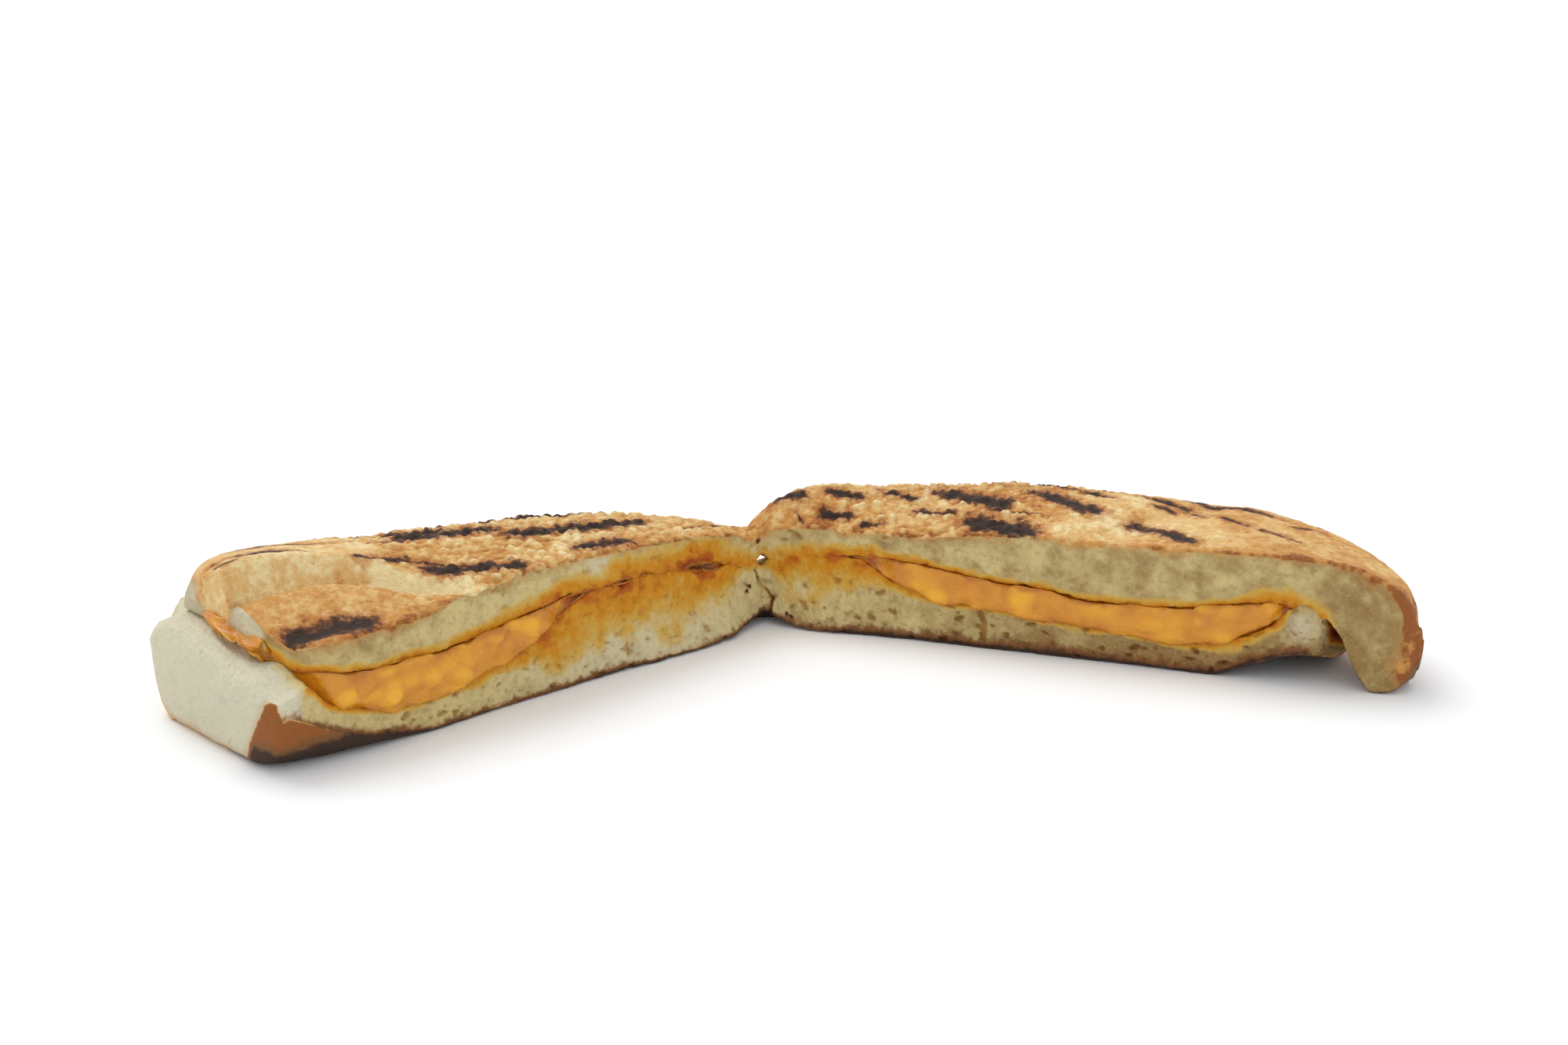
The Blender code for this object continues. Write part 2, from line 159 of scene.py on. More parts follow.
# %% [markdown]
# ## Noise
# Bread is lumpy at every size. Two kinds of noise make the lumps: a smooth one, blended between random
# values on a lattice, for dents and torn crumb, and one that measures how near the closest of many
# scattered points is, for pores and blisters. Both always give the same number at the same place.

# %% Two kinds of noise
def lattice(cell, seed):
    """A number from 0 to 1 that is always the same for the same lattice cell: its integers hashed."""
    h = cell[..., 0] * 73856093 ^ cell[..., 1] * 19349663 ^ cell[..., 2] * 83492791 ^ seed * 65537
    h = ((h ^ (h >> 13)) & 0x7FFFFFFF) * 1274126177 & 0x7FFFFFFF
    h = ((h ^ (h >> 15)) * 1103515245 + 12345) & 0x7FFFFFFF
    return ((h ^ (h >> 11)) & 0xFFFFF) / 0xFFFFF


def lumps(points, size, seed, octaves=3):
    """Smooth noise from -1 to 1: lattice values blended by the smooth step, each octave half the size."""
    total, reach = 0.0, 0.0
    for octave in range(octaves):
        q = points * (2 ** octave / size) + 7.3 * octave
        cell = np.floor(q).astype(np.int64)
        f = q - cell
        f = f * f * (3.0 - 2.0 * f)
        value = 0.0
        for corner in np.ndindex(2, 2, 2):
            weight = np.prod(np.where(np.array(corner) == 1, f, 1.0 - f), axis=-1)
            value = value + weight * lattice(cell + np.array(corner), seed + octave)
        total, reach = total + 0.5 ** octave * (2.0 * value - 1.0), reach + 0.5 ** octave
    return 1.6 * total / reach


def scattered(points, size, seed):
    """Distance to the nearest of many scattered points, one in each lattice cell, and its own number."""
    q = points / size
    cell = np.floor(q).astype(np.int64)
    best, own = np.full(q.shape[:-1], 9.0), np.zeros(q.shape[:-1])
    for corner in np.ndindex(3, 3, 3):
        c = cell + np.array(corner) - 1
        centre = c + np.stack([lattice(c, seed + k) for k in range(3)], axis=-1)
        gap = np.linalg.norm(q - centre, axis=-1)
        own = np.where(gap < best, lattice(c, seed + 3), own)
        best = np.minimum(best, gap)
    return best, own


print("noise sample:", lumps(place(np.arange(5.0) * 9, 3.0, 20.0), 5.0, 1).round(2))

# %% [markdown]
# ## The crust as a height
# The top crust is a height over (s, t): it rises from the cut edge over a crown half way across and
# falls steeply at the outer side. A baker's score runs slantwise over the left arm and leaves two lobes,
# the back one higher than the front one. A height function is enough because the crust never folds.

# %% Height of the crust
LEFT_SCORE = {"route": ((-158, 30), (-146, 27), (-136, 24.5), (-126, 20.5), (-117, 14), (-110, 8),
                        (-104, 2), (-101, -3)), "deep": 3.8, "front": 1.9, "back": 3.2}
RIGHT_SCORE = {"route": ((93, 0), (104, 12), (116, 27), (124, 41)), "deep": 1.4, "front": 5.0, "back": 5.0}
LOBE_STEP = ((-156, 6.4), (-148, 5.6), (-140, 3.4), (-130, 1.6), (-118, 1.0), (-104, 0.0))
CROWN_AT = 0.52                          # the crown lies at this share of the arm's width


def near_route(route, s, t):
    """Shortest distance in plan from (s, t) to a line of points, and the share of the way along it."""
    best, share = np.full(np.shape(s), 1e9), np.zeros(np.shape(s))
    for k in range(len(route) - 1):
        (s0, t0), (s1, t1) = route[k], route[k + 1]
        ds, dt = s1 - s0, t1 - t0
        along = np.clip(((s - s0) * ds + (t - t0) * dt) / (ds * ds + dt * dt), 0.0, 1.0)
        gap = np.hypot(s - s0 - along * ds, t - t0 - along * dt)
        share = np.where(gap < best, (k + along) / (len(route) - 1), share)
        best = np.minimum(best, gap)
    return best, share


def depth_of(route, s):
    """Depth of a route at station s, on straight lines between its points."""
    return np.interp(s, *np.array(route).T)


def side_height(s):
    """Height of the widest line round the arm."""
    return np.minimum(knots(SIDE_SEAM, s), knots(CROWN, s) - 4.0)


def crust_height(s, t):
    """A quarter sine up to the crown and a flattened ellipse down to the side, less the score grooves."""
    edge, crown, side = knots(CUT_EDGE, s), knots(CROWN, s), side_height(s)
    u = np.clip(t / knots(TOP_WIDTH, s), 0.0, 1.0)
    front = edge + (crown - edge) * np.sin(0.5 * np.pi * np.clip(u / CROWN_AT, 0.0, 1.0)) ** 1.15
    outer = np.clip((u - CROWN_AT) / (1.0 - CROWN_AT), 0.0, 1.0)
    back = side + (crown - side) * (1.0 - outer ** 2.7) ** 0.5
    z = np.where(u < CROWN_AT, front, back)
    crease = depth_of(LEFT_SCORE["route"], s)
    behind = smooth((t - crease + 0.8) / 4.2)
    z = z - knots(LOBE_STEP, s) * (1.0 - behind) * smooth((t + 2.0) / 12.0) * (u < 0.9)
    z = z + 1.8 * smooth((-106.0 - s) / 10.0) * np.exp(-((t - crease - 5.0) / 4.0) ** 2)
    for score in (LEFT_SCORE, RIGHT_SCORE):
        gap, _ = near_route(score["route"], s, t)
        half = np.where(t > depth_of(score["route"], s), score["back"], score["front"])
        deep = score["deep"] * (1.0 - 0.9 * smooth((7.0 - t) / 8.0))         # shallower towards the cut
        z = z - deep * np.exp(-(gap / half) ** 2)
    return z


print("crown heights, mm:", crust_height(np.array([-140.0, -60.0, 60.0, 140.0]), 30.0).round(1))

# %% [markdown]
# The two slices face each other across the seam. It could be one flat cut, but melted cheese pushes the
# slices apart unevenly. So a middle level is carried in from the cut to the side, and half the gap is
# added above it for one slice and taken away below it for the other.

# %% Height of the seam
def squeezed_left(s):
    """Share from 0 to 1: full where the left arm was squeezed thin, next to the hinge."""
    return smooth((-9.0 - s) / 6.0) * smooth((s + 78.0) / 8.0)


def seam(s, t, upper):
    """Height of a slice's inner face: apart by the cheese at the cut, closing towards the outer side."""
    u = np.clip(t / knots(TOP_WIDTH, s), 0.0, 1.0)
    shifted = s - 8.0 * smooth(t / 24.0) * smooth((s - 146.0) / 16.0)
    top, bottom = knots(SEAM_TOP, shifted), knots(SEAM_BOTTOM, np.minimum(shifted, KNOB_END))
    middle, apart = 0.5 * (top + bottom), 0.5 * (top - bottom)
    level = middle + (knots(SIDE_SEAM, s) - middle) * smooth(u / 0.85) * smooth((168.0 - shifted) / 8.0)
    level = level + 2.6 * smooth((t - 3.0) / 9.0) * smooth((-150.0 - s) / 5.0) * (1.0 - smooth(u / 0.9))
    along = np.stack([s, 0.0 * s, 0.0 * s], axis=-1)
    torn_open = smooth(0.2 + 0.9 * lumps(along, 9.0, 5, 2)) * squeezed_left(s)
    closed = (1.0 - smooth((apart - 0.7) / 0.9)) * (1.3 - 1.95 * torn_open)
    half = np.maximum(apart * (1.0 - smooth(u / 0.92)), 0.23) - closed * (1.0 - smooth(u / 0.5))
    hole = 1.95 * np.exp(-((s + 0.3) / 1.7) ** 2) - 0.3
    half = np.where(np.abs(s) < 6.0, hole, half)
    half = half * (1.0 - 0.85 * np.exp(-((s + 154.5) / 2.6) ** 2) * (1.0 - smooth((t - 13.0) / 5.0)))
    if not upper:
        return level - half
    past_knob = smooth((shifted - 160.0) / 4.0)
    lip = 0.5 * smooth((half - 1.4) / 1.6) * np.exp(-t / 3.0)                # hangs a little over the cheese
    return (level + half - lip) * (1.0 - past_knob) + top * past_knob


stations = np.array([-140.0, -60.0, 60.0, 140.0])
print("height of the gap at the cut, mm:", (seam(stations, 0.0, True) - seam(stations, 0.0, False)).round(1))

# %% [markdown]
# ## Grids with two ends
# A slice is a tube: a ring of points at every station. Each end is closed by rings that shrink onto the
# middle of the end section and finish in one point, which gives torn end faces as fine a grid as the
# rest. The grid itself is a good map for paint: one axis along the arm, the other round the section.

# %% From rings to a mesh
def close_ends(s, t, z, first, last):
    """Add shrinking rings at both ends; first and last are (rings, millimetres outwards, flatness).

    The share of the way to the middle is returned as well: 0 on the tube, up to 1 at the end point.
    """
    def end(row, count, out, flat):
        share = np.arange(1, count + 1)[:, None] / (count + 0.6)
        bulge = (1.0 - (1.0 - share) ** flat) ** 0.5
        return (s[row] + out * bulge + 0.0 * s[row], t[row] + (t[row].mean() - t[row]) * share,
                z[row] + (z[row].mean() - z[row]) * share, share + 0.0 * s[row])
    a = end(0, first[0], -first[1], first[2])
    b = end(-1, last[0], last[1], last[2])
    body = (s, t, z, 0.0 * s)
    return tuple(np.concatenate([x[::-1], y, w]) for x, y, w in zip(a, body, b))


def repeat_ends(rows, before, after):
    """Repeat the first and the last row, for the rings that close_ends adds."""
    return np.concatenate([np.repeat(rows[:1], before, 0), rows, np.repeat(rows[-1:], after, 0)])


def soften(points, times):
    """Round the corners of every ring: each point moves half way to its two neighbours' middle."""
    for _ in range(times):
        points = 0.5 * points + 0.25 * (np.roll(points, 1, axis=1) + np.roll(points, -1, axis=1))
    return points


def outward(points):
    """Unit normals of a tube of rings: along the arm crossed with round the ring, turned outwards."""
    along = np.gradient(points, axis=0)
    around = np.roll(points, -1, axis=1) - np.roll(points, 1, axis=1)
    normal = np.cross(around, along)
    normal /= np.maximum(np.linalg.norm(normal, axis=-1, keepdims=True), 1e-9)
    away = points - points.mean(axis=1, keepdims=True)
    return normal * np.sign(np.sum(normal * away))


def tube_faces(rows, around):
    """Quads between the rings and a fan of triangles at each end, and the map places of their corners."""
    i, j = (g.ravel() for g in np.meshgrid(np.arange(rows - 1), np.arange(around), indexing="ij"))
    nxt = (j + 1) % around
    quads = np.stack([i * around + j, i * around + nxt, (i + 1) * around + nxt, (i + 1) * around + j], axis=1)
    k, last = np.arange(around), (rows - 1) * around
    knext = (k + 1) % around
    fan_a = np.stack([k, np.full(around, rows * around), knext], axis=1)
    fan_b = np.stack([last + k, last + knext, np.full(around, rows * around + 1)], axis=1)

    def corners(*places):
        pairs = [((row + 1.0) / (rows + 1.0) + 0.0 * column, column / around) for row, column in places]
        return np.stack([share for pair in pairs for share in pair], axis=1)

    maps = (corners((i, j), (i, j + 1), (i + 1, j + 1), (i + 1, j)),
            corners((0, k), (-1, k + 0.5), (0, k + 1)),
            corners((rows - 1, k), (rows - 1, k + 1), (rows, k + 0.5)))
    return (quads, fan_a, fan_b), maps


print("faces of a tube of 3 rings of 8 points:", [len(group) for group in tube_faces(3, 8)[0]])

# %% [markdown]
# Whether the faces point outwards depends on the way round the rings. Each face and the origin span a
# small solid, and the signed sum of them all is the volume. If it comes out negative, every face is turned.

# %% From rings to a piece
def make_piece(name, points, fields, finish):
    """Turn rings of points into a closed mesh with a paint map and one attribute for each field."""
    rows, around = points.shape[:2]
    ends = [points[0].mean(axis=0), points[-1].mean(axis=0)]
    verts = np.concatenate([points.reshape(-1, 3), ends]) * 0.001
    faces, maps = tube_faces(rows, around)
    a, b, c, d = (verts[faces[0][:, m]] for m in range(4))
    volume = np.einsum("ij,ij->", a, np.cross(b, c)) + np.einsum("ij,ij->", a, np.cross(c, d))
    if volume < 0:
        faces = [group[:, ::-1] for group in faces]
        maps = [m.reshape(len(m), -1, 2)[:, ::-1].reshape(len(m), -1) for m in maps]
    mesh = bpy.data.meshes.new(name)
    mesh.from_pydata(verts.tolist(), [], [face for group in faces for face in group.tolist()])
    mesh.uv_layers.new(name="OFBake").data.foreach_set("uv", np.concatenate([m.ravel() for m in maps]))
    for label, values in fields.items():
        values = np.broadcast_to(values, points.shape[:2])
        flat = np.concatenate([values.ravel(), [values[0].mean(), values[-1].mean()]]).astype(np.float32)
        mesh.attributes.new(label, "FLOAT", "POINT").data.foreach_set("value", flat)
    mesh.shade_smooth()
    mesh.materials.append(finish)
    piece = bpy.data.objects.new(name, mesh)
    bpy.context.scene.collection.objects.link(piece)
    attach(piece, "root")
    print(name, len(verts), "points,", len(faces[0]) * 2 + 2 * around, "triangles")
    return piece


# %% [markdown]
# ## Nodes with less typing
# The finishes are graphs of shader nodes. A few small helpers place a node, mix two colours or turn a
# range of values into a share, so that a material below can be read line by line.

# %% Helpers for materials
def tint(red, green, blue):
    """A colour from display values 0 to 255 to the linear values a shader wants."""
    c = np.array((red, green, blue)) / 255.0
    return (*np.where(c <= 0.04045, c / 12.92, ((c + 0.055) / 1.055) ** 2.4).tolist(), 1.0)


def feed(tree, socket, value):
    """Link another node's output to a socket, or set a plain value on it."""
    if isinstance(value, bpy.types.NodeSocket):
        tree.links.new(value, socket)
    else:
        socket.default_value = value


def add(tree, kind, settings=None, **inputs):
    """Place one node with its settings and feed its named inputs."""
    node = tree.nodes.new("ShaderNode" + kind)
    for label, value in (settings or {}).items():
        setattr(node, label, value)
    for label, value in inputs.items():
        feed(tree, node.inputs[label.replace("_", " ")], value)
    return node


def maths(tree, operation, a, b=0.0):
    """One sum on two values."""
    node = add(tree, "Math", {"operation": operation})
    feed(tree, node.inputs[0], a)
    feed(tree, node.inputs[1], b)
    return node.outputs[0]


def plus(tree, a, b, share):
    """a + share x b."""
    return maths(tree, "ADD", a, maths(tree, "MULTIPLY", b, share))


def mix(tree, share, a, b, way="MIX"):
    """Two colours blended by a share."""
    node = add(tree, "Mix", {"data_type": "RGBA", "blend_type": way})
    for place_in_node, value in ((0, share), (6, a), (7, b)):
        feed(tree, node.inputs[place_in_node], value)
    return node.outputs[2]


def ease(tree, value, start, stop, low_out=0.0, high_out=1.0):
    """Smooth step from low_out at start to high_out at stop."""
    return add(tree, "MapRange", {"interpolation_type": "SMOOTHSTEP"}, Value=value, From_Min=start,
               From_Max=stop, To_Min=low_out, To_Max=high_out).outputs[0]


def layers(tree, value, colour, steps):
    """Paint tints over a colour as the value rises; a step is (start, stop, most, tint)."""
    for start, stop, most, there in steps:
        colour = mix(tree, ease(tree, value, start, stop, 0.0, most), colour, tint(*there))
    return colour


def grain(tree, where, size, detail=3.0, rough=0.55):
    """Noise from 0 to 1 whose lumps are about this many millimetres across."""
    return add(tree, "TexNoise", None, Vector=where, Scale=1000.0 / size, Detail=detail,
               Roughness=rough).outputs["Fac"]


def field(tree, label):
    """A value stored on the mesh."""
    return add(tree, "Attribute", {"attribute_name": label}).outputs["Fac"]


def bump(tree, height, distance, normal=None):
    """Bend the normal by a height; distance is in metres."""
    node = add(tree, "Bump", None, Height=height, Distance=distance, Strength=1.0)
    if normal is not None:
        tree.links.new(normal, node.inputs["Normal"])
    return node.outputs["Normal"]


def start_material(name):
    """An empty material with a Principled shader, and the object's own coordinates."""
    material = bpy.data.materials.new(name)
    material.use_nodes = True
    tree = material.node_tree
    where = add(tree, "TexCoord").outputs["Object"]
    return material, tree, tree.nodes["Principled BSDF"], where


print("helpers ready")

# %% [markdown]
# ## The finish of the bread
# One material serves both slices, because crumb, soaked crumb, crust and char run into each other.
# The mesh stores where each of them is as smooth fields in millimetres or shares. The nodes add fine
# noise to a field before it becomes an edge, which makes the edge ragged without a finer mesh.
# - shell: millimetres past the edge between crumb and crust
# - char, soak, burn, toast, pale: how much of each look there is; soak also carries painted shade in
#   torn crevices and at the end of the knob, and burn carries painted shade in the hinge crack
# - pit shade: how much painted shade goes into the pores and the nick

# %% Colours of crumb and crust
CRUMB_PALE, CRUMB_BROWN = (208, 188, 130), (152, 120, 70)
CRUST_PALE, CRUST_GOLD = (235, 212, 158), (221, 180, 116)
# soaked crumb from pale to dark orange; the darkest step also serves as painted shade in torn crevices and at
# the knob's end
SOAK_AND_SHADE_TINTS = ((0.02, 0.42, 1.0, (206, 164, 74)), (0.34, 0.7, 1.0, (204, 136, 20)),
                (0.7, 1.06, 1.0, (180, 92, 6)), (1.1, 1.6, 1.0, (134, 50, 6)))
TOASTED_TINTS = ((0.35, 0.75, 1.0, (202, 144, 74)), (0.75, 1.15, 1.0, (148, 86, 36)))
CHAR_TINTS = ((-0.9, 0.15, 0.66, (170, 98, 40)), (0.02, 0.42, 0.95, (94, 56, 34)),
              (0.35, 0.85, 0.95, (46, 30, 22)))
BURNT_TINTS = ((0.1, 0.45, 1.0, (128, 84, 46)), (0.42, 0.85, 1.0, (62, 42, 30)))


def crumb_colour(tree, fine, small, ragged, wet_and_shade):
    """Pale to tan crumb with dark and light grain, then melted fat and cheese soaked into it, darkest where
    painted shade is added in torn crevices and at the end of the knob.
    """
    tan = ease(tree, plus(tree, field(tree, "toast"), ragged, 0.35), 0.0, 1.0)
    colour = mix(tree, tan, tint(*CRUMB_PALE), tint(*CRUMB_BROWN))
    colour = layers(tree, small, colour, ((0.5, 0.75, 0.45, (156, 124, 72)),))
    colour = layers(tree, fine, colour, ((0.45, 0.85, 0.25, (222, 210, 172)),))
    colour = mix(tree, field(tree, "pale"), colour, tint(212, 207, 184))
    return layers(tree, wet_and_shade, colour, SOAK_AND_SHADE_TINTS)


def crust_colour(tree, ragged):
    """Pale gold to brown crust with char over it."""
    brown = plus(tree, field(tree, "toast"), ragged, 0.95)
    colour = mix(tree, ease(tree, brown, -0.05, 0.35), tint(*CRUST_PALE), tint(*CRUST_GOLD))
    colour = layers(tree, brown, colour, TOASTED_TINTS)
    return layers(tree, plus(tree, field(tree, "char"), ragged, 1.5), colour, CHAR_TINTS)


print("tints of soaked crumb:", len(SOAK_AND_SHADE_TINTS), "of char:", len(CHAR_TINTS))

# %% [markdown]
# The whole finish puts crust over crumb at the ragged edge between them, with a thin tanned line beside
# it, then the burnt underside, painted shade in the hinge crack and painted shade in the pores and the
# nick. Soaked crumb shines a little, dry crumb doesn't.

# %% Bread
def make_bread():
    """Crumb and crust blended over their edge, then burnt places and painted shade in the pores; roughness; a
    fine bump.
    """
    material, tree, shader, where = start_material("bread")
    fine, small, medium = (grain(tree, where, size) for size in (0.7, 1.8, 5.0))
    ragged = maths(tree, "SUBTRACT", maths(tree, "ADD", small, medium), 1.0)
    shell, soak_and_shade = field(tree, "shell"), field(tree, "soak_and_shade")
    # soaked crumb, together with the painted shade of torn crevices and of the knob's end, which use the same
    # tints
    wet_and_shade = maths(tree, "MULTIPLY", plus(tree, soak_and_shade, ragged, 0.38), ease(tree, soak_and_shade, 0.0, 0.08))

    edge = ease(tree, plus(tree, shell, ragged, 1.6), -0.7, 0.8)
    skin = mix(tree, edge, crumb_colour(tree, fine, small, ragged, wet_and_shade), crust_colour(tree, ragged))
    near_edge = ease(tree, plus(tree, shell, ragged, 2.0), -2.6, 0.2, 0.0, 0.4)
    near_edge = maths(tree, "MULTIPLY", near_edge, maths(tree, "SUBTRACT", 1.0, edge))
    skin = mix(tree, near_edge, skin, tint(196, 146, 84))
    skin = layers(tree, plus(tree, field(tree, "burn"), ragged, 0.55), skin, BURNT_TINTS)
    # painted shade: the pores and the nick darkened by their depth, with fine grain mixed in
    shade = plus(tree, field(tree, "pit_shade"), maths(tree, "SUBTRACT", fine, 0.5), 0.5)
    skin = mix(tree, ease(tree, shade, 0.1, 1.0), skin, tint(208, 182, 138), "MULTIPLY")
    tree.links.new(skin, shader.inputs["Base Color"])

    rough = mix(tree, edge, (0.92, 0.92, 0.92, 1.0), (0.68, 0.68, 0.68, 1.0))
    rough = mix(tree, ease(tree, wet_and_shade, 0.3, 0.9, 0.0, 0.7), rough, (0.5, 0.5, 0.5, 1.0))
    rough = mix(tree, ease(tree, small, 0.3, 0.7, 0.0, 0.2), rough, (1.0, 1.0, 1.0, 1.0))
    tree.links.new(rough, shader.inputs["Roughness"])
    bubbles = add(tree, "TexVoronoi", {"feature": "SMOOTH_F1"}, Vector=where, Scale=1000.0 / 1.1)
    height = plus(tree, maths(tree, "MULTIPLY", fine, 0.6), bubbles.outputs["Distance"], 0.5)
    tree.links.new(bump(tree, plus(tree, height, small, 1.2), 0.0006), shader.inputs["Normal"])
    shader.inputs["Specular IOR Level"].default_value = 0.3
    return material


bread = make_bread()
print("bread nodes:", len(bread.node_tree.nodes))

# %% [markdown]
# ## Grill marks
# The hot ridges of the press leave dark bars, slantwise across both arms. Where the crust was blistered
# only the blisters touched the metal, so the bars come and go. The near marks are listed one by one as
# strokes with a half width, and the far side continues them as evenly spaced bars that fade in and out.

# %% Where the crust is charred
MARKS = (                # (start, stop, half width, strength), start and stop as (station, depth)
    ((4, 8), (9, 9), 1.9, 0.9), ((9, 4), (12, 1), 1.1, 0.6), ((16, 14), (24, 15), 2.0, 1.0),
    ((17, 5), (24, 6), 1.9, 1.0), ((30, 3), (35, 5), 1.6, 0.9), ((30, 23), (40, 20), 2.2, 0.9),
    ((43, 13), (53, 13), 1.7, 0.9), ((47, 28), (66, 20), 3.2, 1.2), ((62, 8), (77, 3), 3.4, 1.3),
    ((62, 16), (82, 14), 0.9, 0.6), ((74, 31), (93, 21), 3.2, 1.1), ((106, 17), (123, 6), 2.9, 0.9),
    ((109, 32), (114, 31), 2.2, 0.6), ((117, 36), (123, 27), 2.4, 0.6), ((129, 27), (152, 16), 2.0, 0.45),
    ((149, 30), (157, 32), 1.8, 0.5), ((-152, 9), (-134, 4), 3.2, 1.2), ((-122, 25), (-109, 21), 1.9, 0.9),
    ((-106, 15), (-86, 3), 2.6, 1.1), ((-107, 20), (-101, 16), 1.5, 0.8), ((-145, 37), (-132, 34), 2.2, 0.8),
    ((-156, 38), (-153, 35), 1.6, 0.8), ((-98, 38), (-75, 32), 3.2, 1.2), ((-72, 24), (-33, 19), 3.0, 1.2),
    ((-64, 6), (-47, 5), 2.8, 0.9), ((-22, 10), (-8, 6), 1.0, 0.7),
)
RIDGE_GAP, RIDGE_HALF = 10.4, 2.4        # the press's ridges, millimetres apart and half as wide as this
RIGHT_SLOPE, LEFT_SLOPE = 0.466, 0.36    # how slantwise the ridges cross each arm


def far_bars(s, t, points):
    """Even bars across the ridges' direction, less where they didn't touch and on the near side."""
    slope = np.where(s > 0, RIGHT_SLOPE, LEFT_SLOPE)
    across = (t + slope * s) * np.cos(np.arctan(slope))
    bar = 0.9 - np.abs((across / RIDGE_GAP - 0.3) % 1.0 - 0.5) * RIDGE_GAP / RIDGE_HALF
    patchy = 1.1 * smooth(0.5 + 1.1 * lumps(points, 17.0, 40, 2)) - 0.45
    patchy = patchy - 0.5 * smooth((s - 84.0) / 20.0) - 0.6 * smooth((-100.0 - s) / 14.0)
    reach = smooth((t - 29.0) / 8.0) * smooth((knots(TOP_WIDTH, s) - t - 4.0) / 6.0)
    return (bar + patchy) * reach - 2.0 * (1.0 - reach)


def grilled(s, t, points):
    """How charred each point is: one at the middle of a stroke, falling by one per half width."""
    char = np.full(np.shape(s), -2.0)
    for start, stop, half, strength in MARKS:
        gap, _ = near_route((start, stop), s, t)
        char = np.maximum(char, strength - gap / (half * 1.15))
    return np.maximum(char + 0.30 * lumps(points, 3.4, 44, 3), far_bars(s, t, points))


print("marks listed one by one:", len(MARKS))

# %% [markdown]
# ## Torn crumb and blistered crust
# Real surfaces get real relief. The cut crumb is torn, with open pores; the crust has shallow dents,
# and blisters near the middle of the roll, where the press was hottest. The relief moves points of the
# grid in or out, and the depth of each pore is kept, to paint shade into it.

# %% Relief
def crumb_relief(points, open_pores, seed):
    """Millimetres outwards: torn lumps less round pits at scattered points; the pits' depth as well, for
    painted shade.
    """
    torn = 0.40 * lumps(points, 7.0, seed, 4) + 0.22 * lumps(points, 1.4, seed + 9, 2)
    wavy = points + 0.9 * np.stack([lumps(points, 2.6, seed + k, 2) for k in (11, 12, 13)], axis=-1)
    gap, own = scattered(wavy * np.array((0.8, 0.8, 1.3)), 3.4, seed + 20)
    pit = smooth((0.2 + 0.34 * own - gap) / 0.28) * (own > 0.35)
    gap, own = scattered(wavy, 1.6, seed + 30)
    pit = np.maximum(pit, 0.5 * smooth((0.42 - gap) / 0.3) * (own > 0.5))
    return torn - 0.9 * open_pores * pit, pit * open_pores


def crust_relief(points, blistered, char, seed):
    """Millimetres outwards: wide dents, domed blisters where they are asked for, and pressed-in char."""
    dents = 0.45 * lumps(points, 19.0, seed, 2) + 0.10 * lumps(points, 2.6, seed + 5, 2)
    gap, own = scattered(points, 2.7, seed + 50)
    dome = np.sqrt(np.clip(1.0 - (gap / 0.66) ** 2, 0.0, 1.0)) * smooth((own - 0.25) / 0.3)
    small_gap, small_own = scattered(points, 1.7, seed + 60)
    dome = dome + 0.45 * np.sqrt(np.clip(1.0 - (small_gap / 0.6) ** 2, 0.0, 1.0)) * (small_own > 0.4)
    return dents - 0.3 + blistered * (1.15 * dome - 0.62) - 0.25 * smooth(char), dome * blistered


print("relief of crumb, mm:", crumb_relief(place(np.arange(4.0) * 7, 0.0, 20.0), 1.0, 3)[0].round(2))

# %% [markdown]
# ## The top slice
# Each section of the top slice is drawn as a ring: across the hidden inner face, up the outer side, over
# the crust, round the cut edge and down the cut face. The visible runs get points every half millimetre.
# The slice is made in two halves that meet at the hinge, so that each has its own sharp paint map.

# %% Rings of the top slice
RIM_OVER, RIM_DOWN = 1.2, 1.6            # the rounded edge between crust and cut: over and down


def rows_between(*runs):
    """Stations as one column: each run is (from, to, step)."""
    parts = [np.arange(a, b, step) for a, b, step in runs]
    return np.append(np.concatenate(parts), runs[-1][1])[:, None]


def run(count, power=1.0):
    """Shares from 0 to 1 in a row."""
    return np.linspace(0.0, 1.0, count)[None, :] ** power


def top_rings(s):
    """Ring of the top slice at each station, and a label for each column: inner, crust, rim or cut."""
    width, front = knots(TOP_WIDTH, s), knots(TOP_FRONT, s)
    t_inner = front + run(24) * (width - RIM_OVER - front)
    z_inner = seam(s, t_inner, True)
    droop = 2.0 * (np.minimum(0.0, s - TOP_LEFT_END - 7.0) / 7.0) ** 2
    share = np.concatenate([1.0 - 0.16 * run(13) ** 2, 0.835 * (1.0 - run(86))], axis=1)
    inset = front + RIM_OVER
    t_top = inset + share * (width - inset)
    z_top = np.maximum(crust_height(s, t_top) - droop, z_inner[:, -1:] + 0.6)
    corner = 0.5 * np.pi * run(6)[:, 1:-1]
    z_start = z_top[:, -1:] - RIM_DOWN
    t_edge = inset - RIM_OVER * np.sin(corner)
    z_edge = z_start + RIM_DOWN * np.cos(corner)
    z_cut = z_start + (z_inner[:, :1] - z_start) * run(40)[:, :-1]
    t_cut = front + 0.0 * z_cut
    t = np.concatenate([t_inner, t_top, t_edge, t_cut], axis=1)
    z = np.concatenate([z_inner, z_top, z_edge, z_cut], axis=1)
    label = np.repeat(range(4), [part.shape[1] for part in (t_inner, t_top, t_edge, t_cut)])
    round_tip = 0.5 * smooth((s - 166.0) / 14.0) * smooth((t - front) / 7.0) * (1.0 - 0.6 * smooth(t / width))
    return s + round_tip, t, z, label


s, t, z, label = top_rings(rows_between((0.0, 4.0, 1.0)))
print("points round a ring of the top slice:", t.shape[1])

# %% [markdown]
# Melted fat and cheese have soaked into the crumb next to the layer. How far it reached is one more
# table for each slice: a few millimetres along most of the cut, and much further near the hinge on the
# left, where the layer was squeezed thin.

